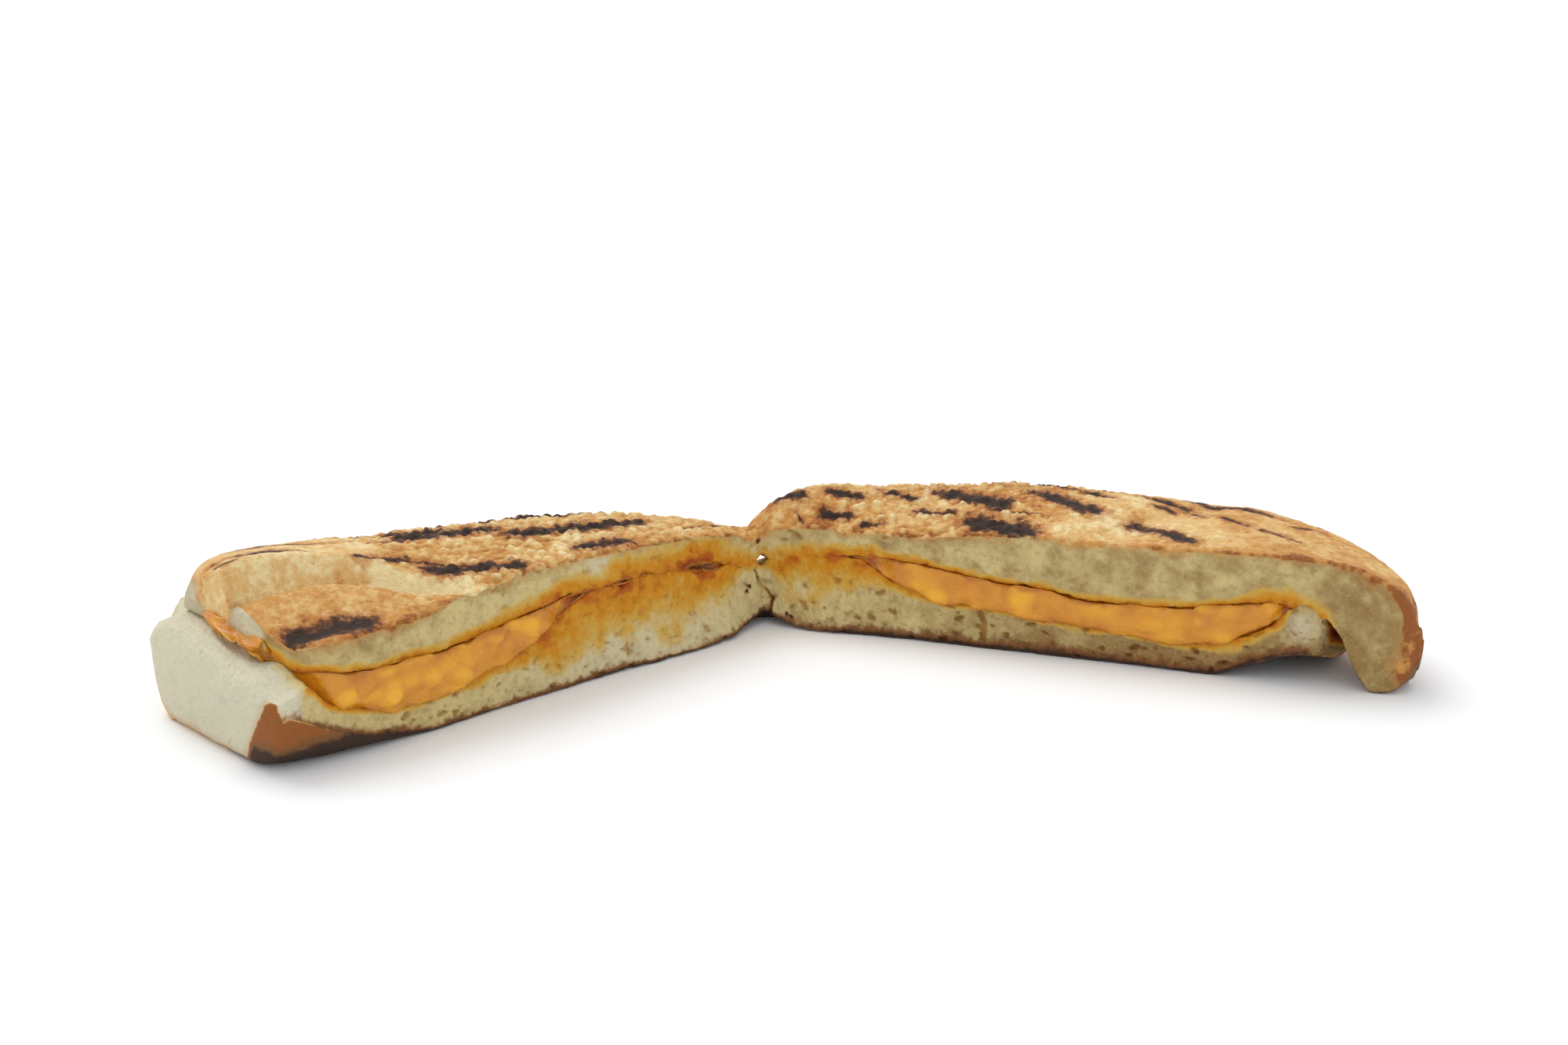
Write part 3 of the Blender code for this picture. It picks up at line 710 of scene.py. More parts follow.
# %% Soaked crumb
SOAK_UP = ((-156, 2.6), (-120, 2.6), (-96, 3.4), (-78, 4.6), (-60, 5.0), (-44, 7.0), (-24, 7.4), (-10, 6.0),
           (0, 2.5), (6, 4.4), (22, 3.8), (45, 2.4), (80, 2.2), (130, 2.6), (152, 4.2), (160, 5.0),
           (166, 2.0), (172, 0.5))
SOAK_DOWN = ((-160, 2.0), (-120, 1.6), (-98, 2.5), (-88, 6.0), (-76, 12.0), (-56, 16.0), (-34, 15.0),
             (-18, 10.0), (-6, 4.4), (0, 2.0), (6, 8.0), (18, 10.0), (30, 7.0), (40, 2.6), (70, 1.6),
             (120, 2.0), (146, 4.0), (156, 2.4), (163, 1.2))
SOAK_STRONG = ((-160, 0.95), (-110, 1.0), (-84, 1.1), (-66, 1.0), (-40, 1.0), (-20, 0.95), (-6, 0.8),
               (0, 0.6), (8, 1.1), (24, 1.1), (60, 0.95), (140, 1.0), (152, 1.05), (160, 0.7), (164, 0.25),
               (167, 0.0))


def soaked(s, t, z, upper, points):
    """How soaked the crumb is: full next to the layer, gone at the table's distance from it; torn crevices
    near the hinge get more of it as painted shade.
    """
    level = seam(s, t, upper)
    away = (z - level) if upper else (level - z)
    reach = knots(SOAK_UP if upper else SOAK_DOWN, s) * (1.0 + 0.35 * lumps(points, 7.0, 70, 2))
    depth = np.clip(1.12 - np.maximum(away, 0.0) / (1.2 * reach), 0.0, 1.0) ** 0.9
    # painted shade: torn crevices along the squeezed left seam are darkened towards the darkest soaked tint
    crevice_shade = 0.6 * smooth(1.2 - np.abs(away) / 3.4) * smooth(0.1 + 1.4 * lumps(points, 5.0, 75, 2))
    crevice_shade = crevice_shade * squeezed_left(s) * (depth > 0.3)
    return knots(SOAK_STRONG, s) * depth * (0.85 + 0.3 * lumps(points, 3.5, 72, 3)) + crevice_shade


print("soak half way up the left cut:", knots(SOAK_DOWN, np.array([-50.0]))[0].round(1), "mm")

# %% [markdown]
# The crumb isn't the same all along: it is open and pale near the hinge, and denser and tanner further
# out. The crust was blistered in the middle of the roll only. These tables say how much of each look there
# is at a station. A crack at the hinge, a nick and a few specks of char are placed one by one.

# %% Tables of the looks
PORES = ((-156, 0.3), (-110, 0.4), (-60, 0.7), (-10, 0.7), (20, 0.7), (60, 0.45), (120, 0.35), (185, 0.3))
PORES_LOW = ((-165, 0.15), (-150, 0.4), (-120, 0.9), (-60, 0.8), (0, 0.7), (20, 1.0), (60, 1.0), (130, 1.1),
             (163, 0.6))
CRUMB_TAN = ((-156, 0.45), (-130, 0.4), (-110, 0.25), (-60, 0.2), (-10, 0.25), (10, 0.3), (60, 0.35),
             (120, 0.4), (155, 0.5), (168, 0.8), (185, 0.75))
CRUMB_TAN_LOW = ((-165, 0.1), (-120, 0.1), (-60, 0.0), (-20, 0.05), (10, 0.2), (50, 0.3), (80, 0.6),
                 (100, 0.8), (140, 0.8), (163, 0.3))
BLISTERED = ((-156, 0.0), (-130, 0.15), (-112, 0.6), (-88, 1.0), (-20, 0.7), (0, 0.5), (20, 0.8), (60, 0.9),
             (84, 0.6), (104, 0.25), (185, 0.1))
TOASTED = ((-156, 0.42), (-146, 0.34), (-128, 0.36), (-108, 0.42), (-70, 0.44), (-30, 0.42), (-6, 0.42),
           (6, 0.46), (40, 0.4), (62, 0.55), (80, 0.52), (98, 0.3), (118, 0.4), (150, 0.46), (166, 0.5),
           (176, 0.56), (185, 0.66))
HINGE_CRACK = ((-2.5, 17.0), (-0.6, 12.0), (3.0, 8.0), (2.2, 4.5), (1.2, 1.0))        # (station, height)
NICK = ((65.6, 10.5), (66.8, 7.0), (66.4, 3.0))
SPECKS = ((-6.2, 11.4), (-5.2, 12.6), (8.2, 4.4), (9.6, 3.8), (-1.6, 25.6))


def scratched(route, half, s, t, z):
    """A line drawn on the cut face: a Gaussian of the distance to it, half millimetres wide."""
    return np.exp(-(near_route(route, s, z)[0] / half) ** 2) * (t < 3.0)


def speckled(half, s, t, z):
    """Specks on the cut face: a Gaussian round each."""
    return sum(np.exp(-(np.hypot(s - at, z - up) / half) ** 2) for at, up in SPECKS) * (t < 2.0)


print("blistered most at s =", max(BLISTERED, key=lambda pair: pair[1])[0], "mm")

# %% [markdown]
# Crust starts at the cut edge and covers everything outside it. The torn left end is crumb, with crust
# only where the back lobe's skin wraps round it, and past the knob the underside of the end crust is brown.

# %% Crumb or crust on the top slice
TORN = -150.0                            # the torn left ends begin here
INNER, CUT = 0, 3                        # labels of a ring's columns on the inner face and on the cut


def top_shell(s, t, z, cap, label, edge_z, points):
    """Millimetres past the edge between crumb and crust, made uneven by lumps."""
    inner, cut = label[None, :] == INNER, label[None, :] == CUT
    end_face = smooth(cap / 0.05)
    shell = np.where(cut, z - edge_z - 0.4, np.where(inner, -4.0, 1.0 + t))
    tip_band = np.maximum(z - knots(CUT_EDGE, s + 3.6) + 0.6, s - RIGHT_END + 4.4)
    shell = np.where(cut & (s > 150.0), np.maximum(shell, tip_band), shell)
    shell = np.where(inner & (s > 160.0), 4.0 * smooth((s - 161.0) / 3.0) - 2.0, shell)
    wraps = np.clip(5.0 - np.abs(t - 38.0) * 0.75 + 0.4 * (z - 34.0), -4.0, 2.0)
    shell = np.where(s < TORN, shell * (1.0 - end_face) + wraps * end_face, shell)
    uneven = 1.3 * lumps(points, 8.0, 90, 2) + 1.0 * lumps(points, 2.8, 92, 2)
    return shell + uneven * (np.abs(shell) < 12.0)


def crust_toast(s, t, points, dome, hook_under):
    """How brown the top crust is: the table with lumps; less on blisters and on pale patches."""
    crease = depth_of(LEFT_SCORE["route"], s)
    lip, along = near_route(LEFT_SCORE["route"], s, t - 1.5)
    flank = smooth((t - crease) / 2.0) * smooth((crease + 16.0 - t) / 6.0)
    toast = knots(TOASTED, s) + (0.26 - 0.16 * smooth((-112.0 - s) / 10.0)) * lumps(points, 9.0, 300, 3)
    toast = toast + 0.35 * hook_under - 0.55 * (dome - 0.45 * knots(BLISTERED, s))
    toast = toast + 0.25 * smooth((t - knots(TOP_WIDTH, s) + 14.0) / 14.0) + 0.3 * np.exp(-(t / 4.0) ** 2)
    toast = toast - 0.8 * np.exp(-(lip / 3.0) ** 4) * smooth((along - 0.42) / 0.14)
    toast = toast + 0.22 * smooth((-112.0 - s) / 8.0) * smooth((crease - t) / 3.0)
    toast = toast - 0.1 * smooth((-126.0 - s) / 8.0) * flank
    toast = toast - 0.3 * np.exp(-np.hypot((s + 138.0) / 12.0, (t - 36.0) / 8.0) ** 2)
    toast = toast - 0.35 * np.exp(-np.hypot((s - 91.0) / 7.0, (t - 6.0) / 9.0) ** 2)
    return toast + 0.22 * smooth((s - 112.0) / 10.0) * np.exp(-(t / 10.0) ** 2)


print("browning at the middle of each arm:", knots(TOASTED, np.array([-80.0, 90.0])).round(2))

# %% [markdown]
# Now the rings become a piece. The relief moves every point along its normal, more where the surface is
# torn or blistered. The fields that the finish reads are worked out on the same grid.

# %% Make the top slice
def make_top(name, rows, first, last):
    """One half of the top slice: rings, closed ends, relief, fields."""
    s, t, z, label = top_rings(rows)
    edge_z = repeat_ends(z[:, label == CUT][:, :1], first[0], last[0])
    s, t, z, cap = close_ends(s, t, z, first, last)
    points = soften(place(s, t, z), 2)
    normal, char = outward(points), grilled(s, t, points)
    inner, cut = label[None, :] == INNER, label[None, :] == CUT
    torn_end = smooth(cap / 0.05) * (s < TORN)
    shell = top_shell(s, t, z, cap, label, edge_z, points)
    outside = smooth(0.5 + 0.7 * shell)
    torn, pit = crumb_relief(points, knots(PORES, s), 100)
    baked, dome = crust_relief(points, knots(BLISTERED, s), char, 200)
    calm = 0.3 + 0.7 * smooth((s - TOP_LEFT_END) / 8.0)
    move = (outside * baked + (1.0 - outside) * torn * calm) * np.where(inner, 0.3, 1.0)
    points = points + normal * move[..., None]
    soak_and_shade = np.where(cut | inner, soaked(s, t, z, True, points), 0.0)
    end_soak = 0.95 * smooth((33.0 - z) / 6.0) * np.exp(-((t - 27.0) / 12.0) ** 2)
    soak_and_shade = np.where((s < -155.0) & (cap > 0), end_soak, soak_and_shade)
    hook_under = smooth((s - 161.0) / 3.0) * inner
    crumb = knots(CRUMB_TAN, s) + 0.34 * lumps(points, 4.0, 310, 3)
    crumb = crumb + 0.25 * np.exp(-np.maximum(-shell, 0.0) / 1.6)
    fields = {
        "shell": shell,
        "char": np.where(outside > 0.2, char, -2.0) - 3.0 * torn_end,
        "soak_and_shade": soak_and_shade * (1.0 - smooth((s - 168.0) / 4.0)),
        "toast": np.where(shell > 0.0, crust_toast(s, t, points, dome, hook_under), crumb),
        "burn": 0.5 * hook_under + 1.2 * speckled(0.7, s, t, z),
        "pale": np.clip(0.55 * torn_end + 0.5 * np.exp(-((s + 62.0) / 6.0) ** 2) * cut, 0.0, 1.0),
        # painted shade in the pores, by their depth, less where the crumb is soaked
        "pit_shade": pit * (1.0 - outside) * (1.0 - 0.8 * np.clip(soak_and_shade, 0.0, 1.0)),
    }
    piece = make_piece(name, points, fields, bread)
    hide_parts("top_bread")
    return piece


AT_HINGE = (10, 2.0, 2)                  # the halves run 2 mm into each other at the hinge
left_rows = rows_between((TOP_LEFT_END, -150.0, 0.3), (-150.0, 0.0, 0.5))
right_rows = rows_between((0.0, 170.0, 0.5), (170.0, 180.0, 0.35), (180.0, RIGHT_END, 0.15))
top_left = make_top("top_left", left_rows, (34, 1.4, 4), AT_HINGE)
top_right = make_top("top_right", right_rows, AT_HINGE, (14, 1.4, 2))

# %% [markdown]
# ## The bottom slice
# It is made in the same way, with its ring turned over. At the left end it sticks out past the top slice
# as a pale ledge of torn crumb, with the crust curling up round its front corner. At the right end it
# stops in a torn knob, and its underside lifts off the table there and at the hinge.

# %% Rings of the bottom slice
SQUEEZED = ((-90, 0.0), (-60, 1.5), (-34, 4.2), (-18, 5.0), (-7, 2.0), (0, 0.8), (7, 2.4), (18, 2.8),
            (34, 0.8), (60, 0.0))
BURNT = ((-165, 0.2), (-150, 0.5), (-130, 0.8), (-90, 0.55), (-50, 0.75), (-20, 0.6), (0, 0.9), (12, 0.5),
         (30, 0.9), (110, 0.95), (140, 0.8), (163, 0.7))
SIDE_ROUND = 9.0                         # radius of the outer side down to the table


def bottom_rings(s):
    """Ring at each station: over the inner face, down the cut, round the corner, under, and up the side.

    The cut bulges at the knob and leans out where the arm was squeezed; the corner and the side are
    quarters of an ellipse. A label for each column is returned as well.
    """
    width = knots(BOTTOM_WIDTH, s)
    shift = 8.0 * smooth((s - 146.0) / 16.0)
    t_inner = run(46)[:, ::-1] * (knots(TOP_WIDTH, s) - 1.2)
    t_inner[:, 0] = width[:, 0] - 1.2
    z_inner = seam(s + shift * smooth(t_inner / 24.0), t_inner, False)
    rounded = np.clip((t_inner - width + 11.0) / 10.0, 0.0, 1.0) ** 2
    z_inner = z_inner - 6.0 * smooth((-150.0 - s) / 6.0) * rounded
    lift, squeeze = knots(UNDER_LIFT, s), knots(SQUEEZED, s)
    corner_h, corner_d = knots(CORNER_HEIGHT, s), knots(CORNER_DEPTH, s)
    z_cut = z_inner[:, -1:] + (lift + corner_h - z_inner[:, -1:]) * run(39)[:, 1:]
    knob = np.exp(-((s - 155.0) / 3.6) ** 2 - ((z_cut - 17.5) / 4.4) ** 2)
    t_cut = -squeeze * smooth(1.0 - z_cut / 15.0) - 4.0 * knob
    angle = 0.5 * np.pi * run(21)[:, 1:]
    t_corner = corner_d * (1.0 - np.cos(angle)) - squeeze * np.cos(angle) ** 2
    z_corner = lift * np.exp(-t_corner / 26.0) + corner_h * (1.0 - np.sin(angle))
    floor_width = width - SIDE_ROUND
    t_under = corner_d + (floor_width - corner_d) * run(17)[:, 1:]
    z_under = lift * np.exp(-t_under / 26.0) * (1.0 - smooth(t_under / floor_width))
    angle = 0.5 * np.pi * run(19)[:, 1:]
    t_side = floor_width + SIDE_ROUND * np.sin(angle)
    z_side = (z_inner[:, :1] - 0.4) * (1.0 - np.cos(angle))
    parts = ((t_inner, z_inner), (t_cut, z_cut), (t_corner, z_corner), (t_under, z_under), (t_side, z_side))
    t, z = (np.concatenate([part[k] for part in parts], axis=1) for k in (0, 1))
    label = np.repeat(range(5), [part[0].shape[1] for part in parts])
    return s + shift * smooth(t / 24.0), t, z, label


print("points round a ring of the bottom slice:", bottom_rings(rows_between((0.0, 4.0, 1.0)))[1].shape[1])

# %% [markdown]
# Crust covers the underside, the side and the front corner, which turns up to the ledge at the left end.
# Browning fades upwards from the table, and the corner is black at its foot. Both are functions of the
# height above the crust's border rather than painted shapes, so that they follow the surface.

# %% Crust and browning of the bottom slice
def bottom_shell(s, t, z, cap, label, border, points):
    """Millimetres past the edge between crumb and crust; the torn ends have their own border."""
    inner, cut, corner, under, side = (label[None, :] == k for k in range(5))
    end_face = smooth(cap / 0.06)
    at_corner = 0.6 + t + 2.5 * smooth((-124.0 - s) / 8.0)
    shell = np.where(cut, border - z - 0.3, np.where(inner, -4.0, np.where(corner, at_corner, 4.0)))
    shell = np.where(side & (s < TORN), np.minimum(shell, 13.0 - z), shell)
    turned_up = np.maximum(5.0 + 0.64 * (18.0 - z) - t, 1.6 - z)
    torn_end = np.where(s < TORN, turned_up, 0.8 * (6.0 - z))
    shell = np.where(np.abs(s) > -TORN, shell * (1.0 - end_face) + torn_end * end_face, shell)
    return shell + 0.6 * lumps(points, 7.0, 91, 2) * (np.abs(shell) < 12.0)


def bottom_burn(s, t, z, cap, label, shell, above, points):
    """How burnt it is: falling exponentially above the border, and a black foot at the left corner."""
    inner, cut, corner, under, side = (label[None, :] == k for k in range(5))
    reach = 1.3 + 0.9 * smooth(s / 30.0) + 0.9 * np.clip(lumps(points, 9.0, 95, 2), -0.7, 1.0)
    burn = knots(BURNT, s) * np.exp(-above / reach) * (1.0 - side * 0.8) * ~inner
    burn = burn - 0.5 * corner * smooth((-134.0 - s) / 10.0) * smooth((z - 1.0) / 4.0)
    foot = 1.1 * smooth((shell - 0.5) / 2.0) * smooth((-128.0 - s) / 10.0)
    foot = foot * smooth((12.0 - z) / 10.0) * (t < 26.0)
    return burn * (1.0 - smooth(cap / 0.06)) + foot


print("burnt most at s =", max(BURNT, key=lambda pair: pair[1])[0], "mm")

# %% [markdown]
# Making it repeats the steps of the top slice. Its lowest points are cut off flat at the table, as the
# weight of the roll does, and the end of the knob is painted dark orange-brown: soaked crumb, darkened
# further as painted shade in the recess under the hook.

# %% Make the bottom slice
LEDGE, KNOB = -161.5, 156.5              # beyond these the torn ends round off


def make_bottom(name, rows, first, last):
    """One half of the bottom slice: rings, closed ends, relief, fields."""
    s, t, z, label = bottom_rings(rows)
    border = repeat_ends(knots(UNDER_LIFT, rows) + knots(CORNER_HEIGHT, rows), first[0], last[0])
    s, t, z, cap = close_ends(s, t, z, first, last)
    points = soften(place(s, t, z), 2)
    normal = outward(points)
    inner, cut, corner, under, side = (label[None, :] == k for k in range(5))
    shell = bottom_shell(s, t, z, cap, label, border, points)
    crack, nick = scratched(HINGE_CRACK, 0.45, s, t, z), scratched(NICK, 0.9, s, t, z)
    outside = smooth(0.5 + 0.7 * shell)
    torn, pit = crumb_relief(points, knots(PORES_LOW, s), 400)
    dents = 0.35 * lumps(points, 17.0, 500, 2) * (1.0 - under) + 0.1 * lumps(points, 2.4, 510, 2)
    move = outside * dents + (1.0 - outside) * torn - 1.0 * crack - 1.2 * nick
    move = move * np.where(under & (z < 0.5), 0.15, 1.0)
    points = points + normal * move[..., None]
    points[..., 2] = np.maximum(points[..., 2], 0.0)
    above, ledge = np.maximum(z - border, 0.0), smooth((-155.0 - s) / 3.0)
    soak_and_shade = np.where(cut | inner, soaked(s, t, z, False, points), 0.0)
    soak_and_shade = soak_and_shade * smooth((s + 156.0 - 1.5 * inner) / 2.0)
    soak_and_shade = soak_and_shade * (1.0 - inner * smooth((t - knots(TOP_WIDTH, s) + 8.0) / 4.0))
    # painted shade: the end of the knob, in the recess under the hook, gets the darkest soaked tint
    soak_and_shade = soak_and_shade * (1.0 - 0.8 * smooth((s - 149.0) / 4.0)) + 1.5 * smooth((cap - 0.3) / 0.3) * (s > 150.0)
    crust = 0.5 + 0.9 * smooth((-122.0 - s) / 16.0) * (t < 22.0) + 0.1 * lumps(points, 9.0, 520, 2)
    crumb = knots(CRUMB_TAN_LOW, s) + 0.3 * lumps(points, 5.0, 530, 3) + 0.4 * np.exp(-above / 2.5)
    pale = 0.85 * smooth((-155.0 - s + 8.0 * inner * (t > 48.0)) / 3.0)
    pale = pale + 0.4 * cut * np.exp(-((s + 50.0) / 34.0) ** 2)
    pale = pale + 0.45 * np.exp(-((s - 155.0) / 4.4) ** 2 - ((z - 18.0) / 4.4) ** 2)
    # painted shade in the pores, by their depth, less where soaked and on the pale ledge
    pit_shade = pit * (1.0 - outside) * (1.0 - 0.8 * np.clip(soak_and_shade, 0.0, 1.0)) * (1.0 - 0.6 * ledge)
    burn = bottom_burn(s, t, z, cap, label, shell, above, points)
    fields = {
        "shell": shell,
        "char": -2.0,
        "soak_and_shade": soak_and_shade + 0.6 * crack,
        "toast": np.where(shell > 0.0, crust, crumb - 0.3 * ledge),
        # the hinge crack: orange from the soak, and darkened with the burnt tints as painted shade in the
        # crack
        "burn": burn + 0.45 * crack + 1.2 * speckled(0.5, s, t, z),
        "pale": np.clip(pale, 0.0, 1.0),
        # painted shade in the pores and in the nick on the right cut face
        "pit_shade": np.clip(pit_shade + 1.3 * nick, 0.0, 1.3),
    }
    piece = make_piece(name, points, fields, bread)
    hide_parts("bottom_bread")
    return piece


left_rows = rows_between((LEDGE, -152.0, 0.35), (-152.0, 0.0, 0.5))
right_rows = rows_between((0.0, 150.0, 0.5), (150.0, KNOB, 0.35))
bottom_left = make_bottom("bottom_left", left_rows, (44, LEDGE - BOTTOM_LEFT_END, 3.2), AT_HINGE)
bottom_right = make_bottom("bottom_right", right_rows, AT_HINGE, (34, KNOB_END - KNOB, 2))

# %% [markdown]
# ## The cheese
# Melted cheese fills the seam and swells out of the cut in soft lobes. It is a ring again: in over the
# layer, back under it, and round the swelling front. Gaussian humps along the arm make the lobes.
# Cheese lets light in a little way, so its material scatters light below the surface.

# %% Finish of the cheese
def make_cheese_finish():
    """Glossy orange, a lighter yellow painted on the lumps as light on the bulges, darker, browner cheese
    where the layer is thin, and painted shade at its edges against the bread.
    """
    material, tree, shader, where = start_material("melted_cheese")
    small, medium = grain(tree, where, 1.6), grain(tree, where, 6.0)
    bulge_light_and_tone, thin = field(tree, "bulge_light_and_tone"), field(tree, "thin")
    colour = mix(tree, ease(tree, medium, 0.3, 0.7), tint(216, 144, 26), tint(200, 124, 24))
    # painted light: the lobes and blobs are lighter yellow where they bulge, with some random tone
    colour = mix(tree, ease(tree, bulge_light_and_tone, 0.2, 0.9), colour, tint(236, 170, 26))
    colour = mix(tree, ease(tree, maths(tree, "ADD", thin, maths(tree, "MULTIPLY", small, 0.3)), 0.35, 0.85),
                 colour, tint(176, 92, 20))
    # painted shade: the cheese is browner along its edges where it meets the bread, with random tone
    edge_shade = maths(tree, "ADD", field(tree, "border"), maths(tree, "MULTIPLY", medium, 0.3))
    colour = mix(tree, ease(tree, edge_shade, 0.5, 1.05, 0.0, 0.85), colour, tint(182, 106, 20))
    tree.links.new(colour, shader.inputs["Base Color"])
    tree.links.new(ease(tree, small, 0.3, 0.75, 0.14, 0.36), shader.inputs["Roughness"])
    shader.inputs["Subsurface Weight"].default_value = 0.2
    shader.inputs["Subsurface Radius"].default_value = (1.0, 0.45, 0.12)
    shader.inputs["Subsurface Scale"].default_value = 0.004
    tree.links.new(bump(tree, maths(tree, "ADD", small, medium), 0.0005), shader.inputs["Normal"])
    return material


melted = make_cheese_finish()
print("cheese nodes:", len(melted.node_tree.nodes))

# %% [markdown]
# The layer could be a flat slab, but then its front would look cut with a knife. Instead the front of each
# ring is a half circle pushed out by the lobes, and it sinks back into the seam where the layer is thin.
# At the left end the top slice stops sooner, so there the layer swells up and runs out unevenly.

# %% Rings of the cheese
LOBES = ((43, 5, 0.6), (52, 6, 1.5), (66, 4.5, 1.2), (78, 5.5, 1.6), (92, 5, 1.0), (104, 6, 1.3),
         (118, 7, 1.2), (133, 6, 0.9), (-74, 3.5, 1.5), (-86, 4.0, 1.2), (-95, 5, 1.4), (-107, 5, 1.2),
         (-118, 5, 1.2), (-131, 6, 1.2), (-145, 6, 1.0))            # (station, half length, size)
CHEESE_END = 12                          # rings that close each end of the layer


def cheese_heights(s, t, start):
    """Upper and lower face of the layer: 0.15 mm into both slices, round at its first end."""
    z_high, z_low = seam(s, t, True) - 0.15, seam(s, t, False) + 0.15
    past = smooth((-154.5 - s) / 2.0)
    swollen = past * (2.6 + 1.4 * smooth(t / 20.0)) * smooth((t - 8.0) / 6.0)
    z_high = np.where(s < -154.5, z_high + swollen, z_high)
    tip = np.clip(1.0 - (s - start) / 2.4, 0.0, 1.0)
    centre, round_end = 0.5 * (z_high + z_low), np.sqrt(1.0 - 0.9 * tip ** 2)
    z_high, z_low = np.maximum(z_high, centre + 0.1), np.minimum(z_low, centre - 0.1)
    return centre + (z_high - centre) * round_end, centre + (z_low - centre) * round_end


def cheese_rings(start, end):
    """Rings of one arm's layer; also how near each column is to bread, the lobes and the half heights."""
    s = rows_between((start, end, 0.5))
    front = knots(TOP_FRONT, s)
    deep = (0.62 + 0.10 * smooth((-150.0 - s) / 4.0)) * (knots(TOP_WIDTH, s) - 1.2 - front)
    t_run = front + run(20) * deep
    z_high, z_low = cheese_heights(s, t_run, start)
    taper = smooth((s - start) / 6.0) * smooth((end - s) / 4.0)
    middle, half = 0.5 * (z_high + z_low)[:, :1], 0.5 * (z_high - z_low)[:, :1]
    thick = smooth((half - 1.5) / 1.7) * taper
    lobe = sum(size * np.exp(-((s - at) / wide) ** 2) for at, wide, size in LOBES)
    angle = np.pi * run(36)[:, 1:-1]
    swell = thick * (0.7 + 0.8 * lobe) - 1.2 * (1.0 - thick)
    t_front = front + 0.3 - 0.6 * thick - (swell + 0.3) * np.sin(angle) ** 1.1
    z_front = middle - (half + 1.0 * thick) * np.cos(angle) - 0.4 * thick * lobe * np.sin(angle) ** 2
    z_front = z_front - thick * (1.0 * lobe - 0.7) * (0.5 + 0.5 * np.cos(angle)) ** 1.5
    t = np.concatenate([t_run, t_run[:, ::-1], t_front], axis=1)
    z = np.concatenate([z_high, z_low[:, ::-1], z_front], axis=1)
    rim = np.concatenate([np.ones(2 * t_run.shape[1]), np.abs(np.cos(angle[0])) ** 1.6])[None, :]
    oozing = smooth((-152.0 - s) / 4.0)
    s = s - 1.6 * oozing * lumps(np.stack([0.0 * t, t, 0.0 * t], axis=-1), 9.0, 640, 2)
    return s, t, z, rim, lobe, half


print("rings, points round one:", cheese_rings(9.0, 153.5)[1].shape)

# %% [markdown]
# Last come the lumps. Soft blobs round scattered points make the surface look as if it had flowed, and
# the same blobs and the lobes are painted a lighter yellow as light on the bulges. The border that
# touches bread is painted browner as shade where the cheese meets the bread.

# %% Make the cheese
def make_cheese(name, start, end):
    """One arm's layer: rings, closed ends, blobs on the front, fields."""
    s, t, z, rim, lobe, half = cheese_rings(start, end)
    lobe, half = (repeat_ends(rows, CHEESE_END, CHEESE_END) for rows in (lobe, half))
    s, t, z, cap = close_ends(s, t, z, (CHEESE_END, 1.6, 2), (CHEESE_END, 1.2, 2))
    front = rim < 1.0                    # columns of the swelling front
    points = soften(place(s, t, z), 2)
    gap, own = scattered(points * np.array((0.8, 0.8, 1.2)), 6.5, 605)
    blob = np.clip(1.0 - (gap / 0.66) ** 2, 0.0, 1.0) ** 1.3 * smooth((own - 0.2) / 0.3)
    move = 0.6 * lumps(points, 6.5, 600, 2) + 0.12 * lumps(points, 1.8, 610, 2) + 0.8 * blob - 0.4
    points = points + outward(points) * (move * np.where(front, 1.0, 0.2))[..., None]
    # painted light on the bulging lobes and blobs, plus random tone
    bulge_light_and_tone = np.clip(0.3 * lobe + 0.5 * blob + 0.3 * lumps(points, 8.0, 620, 2), 0.0, 1.0)
    fields = {
        # painted shade along the edges where the cheese meets the bread
        "border": rim * smooth((s + 156.0) / 4.0) + 0.35 * lumps(points, 5.0, 630, 3) - 0.2,
        "bulge_light_and_tone": bulge_light_and_tone * front,
        "thin": (1.0 - smooth((half - 1.0) / 1.4)) * smooth((s + 153.0) / 6.0),
    }
    piece = make_piece(name, points, fields, melted)
    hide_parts(name)
    return piece


cheese_left = make_cheese("cheese_left", -157.8, -9.0)
cheese_right = make_cheese("cheese_right", 9.0, 153.5)

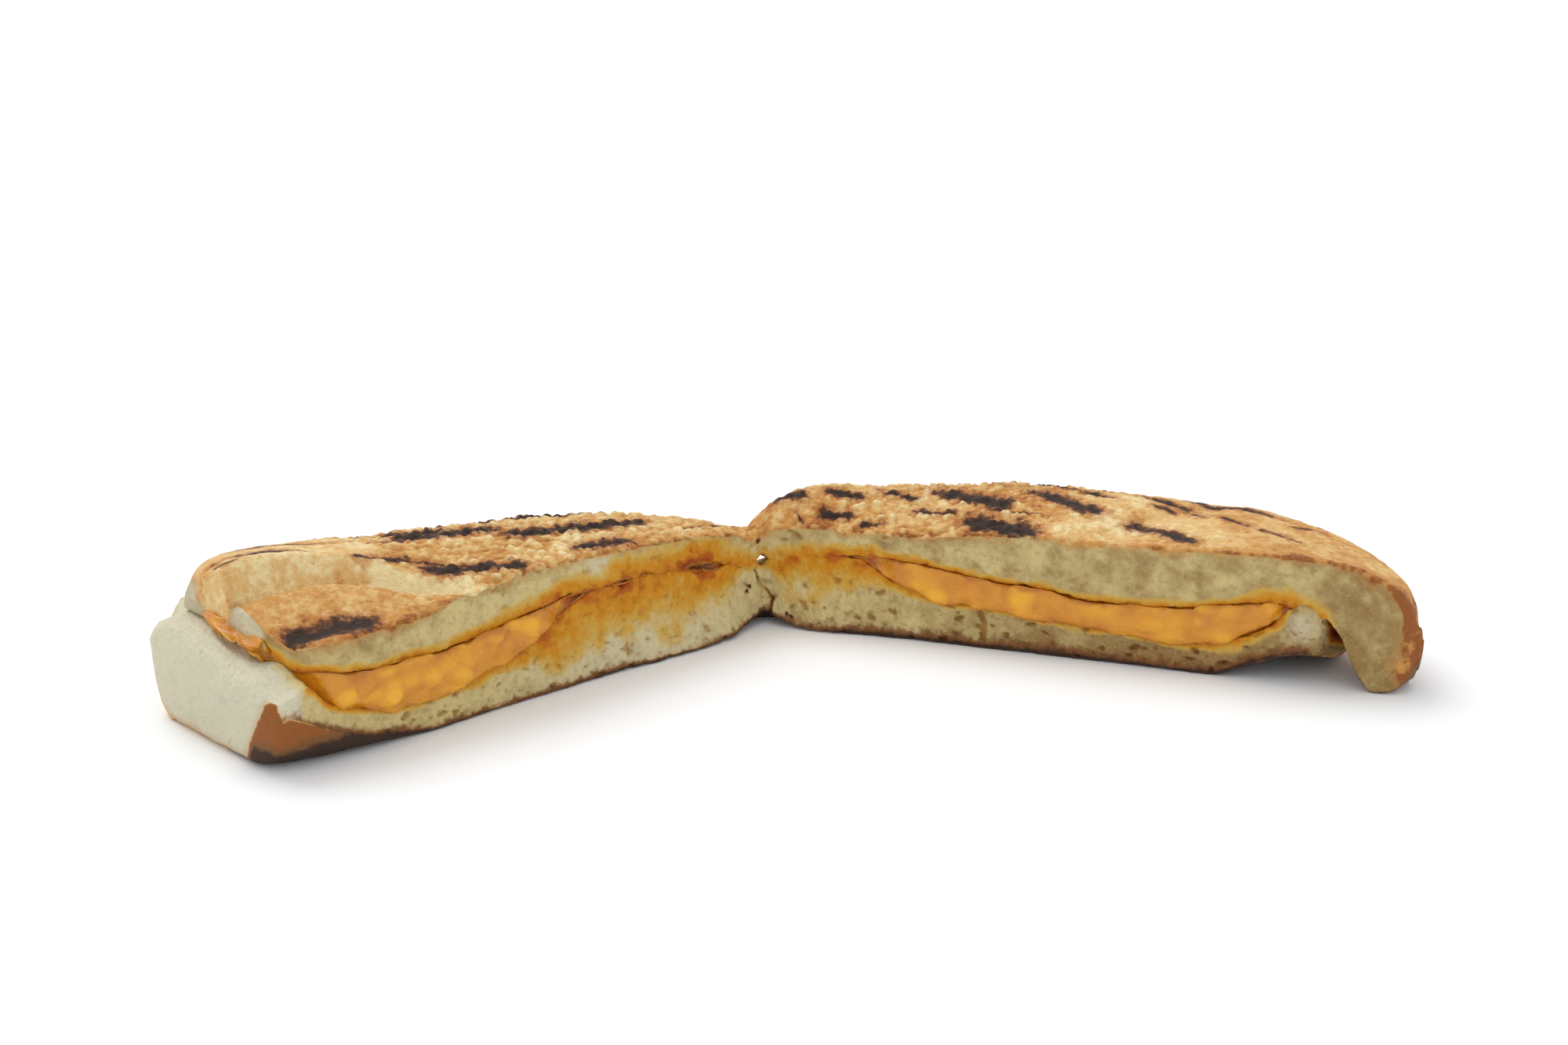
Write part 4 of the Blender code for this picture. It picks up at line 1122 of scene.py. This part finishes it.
# %% [markdown]
# ## The studio
# The sandwich lies on a plain white table in soft light. A wide floor fills the view, a sun with a very
# large disc shines from behind on the left, and an even white world lifts the shadows. A small lamp would
# draw hard shadows instead. The camera stands a step away and looks a little down. None of these is part
# of the object.

# %% Floor and light
bpy.ops.mesh.primitive_plane_add(size=14.0)
floor = bpy.context.object
floor.name = "floor"
white, tree, shader, where = start_material("white_table")
paint = mix(tree, grain(tree, where, 60.0), tint(250, 250, 250), tint(246, 246, 246))
tree.links.new(paint, shader.inputs["Base Color"])
shader.inputs["Roughness"].default_value = 0.8
floor.data.materials.append(white)
floor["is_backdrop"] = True

world = bpy.data.worlds.new("studio")
world.use_nodes = True
world.node_tree.nodes["Background"].inputs["Color"].default_value = (0.955, 0.98, 1.0, 1.0)
world.node_tree.nodes["Background"].inputs["Strength"].default_value = 0.92
bpy.context.scene.world = world

sun = bpy.data.lights.new("window", "SUN")
sun.energy, sun.angle = 1.1, math.radians(38.0)
window = bpy.data.objects.new("window", sun)
window.rotation_euler = (math.radians(-24.0), math.radians(-24.0), 0.0)
bpy.context.scene.collection.objects.link(window)
window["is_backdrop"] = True
print("sun", sun.energy, "W/m2, disc of 38 degrees")

# %% Camera
CAMERA_PLACE = (HINGE[0] + 6.26, HINGE[1] - 605.04, 221.75)        # millimetres, the last above the table
LOOKS_DOWN = 17.5                                                  # degrees
camera_data = bpy.data.cameras.new("camera")
camera_data.lens, camera_data.sensor_width = 50.0, 36.0
camera = bpy.data.objects.new("camera", camera_data)
camera.location = [coordinate / 1000.0 for coordinate in CAMERA_PLACE]
camera.rotation_euler = (math.radians(90.0 - LOOKS_DOWN), 0.0, 0.0)
bpy.context.scene.collection.objects.link(camera)
bpy.context.scene.camera = camera
bpy.context.scene.view_settings.view_transform = "Standard"
print("camera at", [round(v, 4) for v in camera.location])

# %% [markdown]
# ## Compare sizes
# The finished pieces have to fill the same box as the plain solids they replace. Both boxes are written
# down, so that the difference can be checked.

# %% Measure and finish
size_after = [list(corner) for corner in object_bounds()]
growth = (np.array(size_after) - np.array(size_before)) * 1000.0
print("difference of the two boxes, mm:", growth.round(2).tolist())
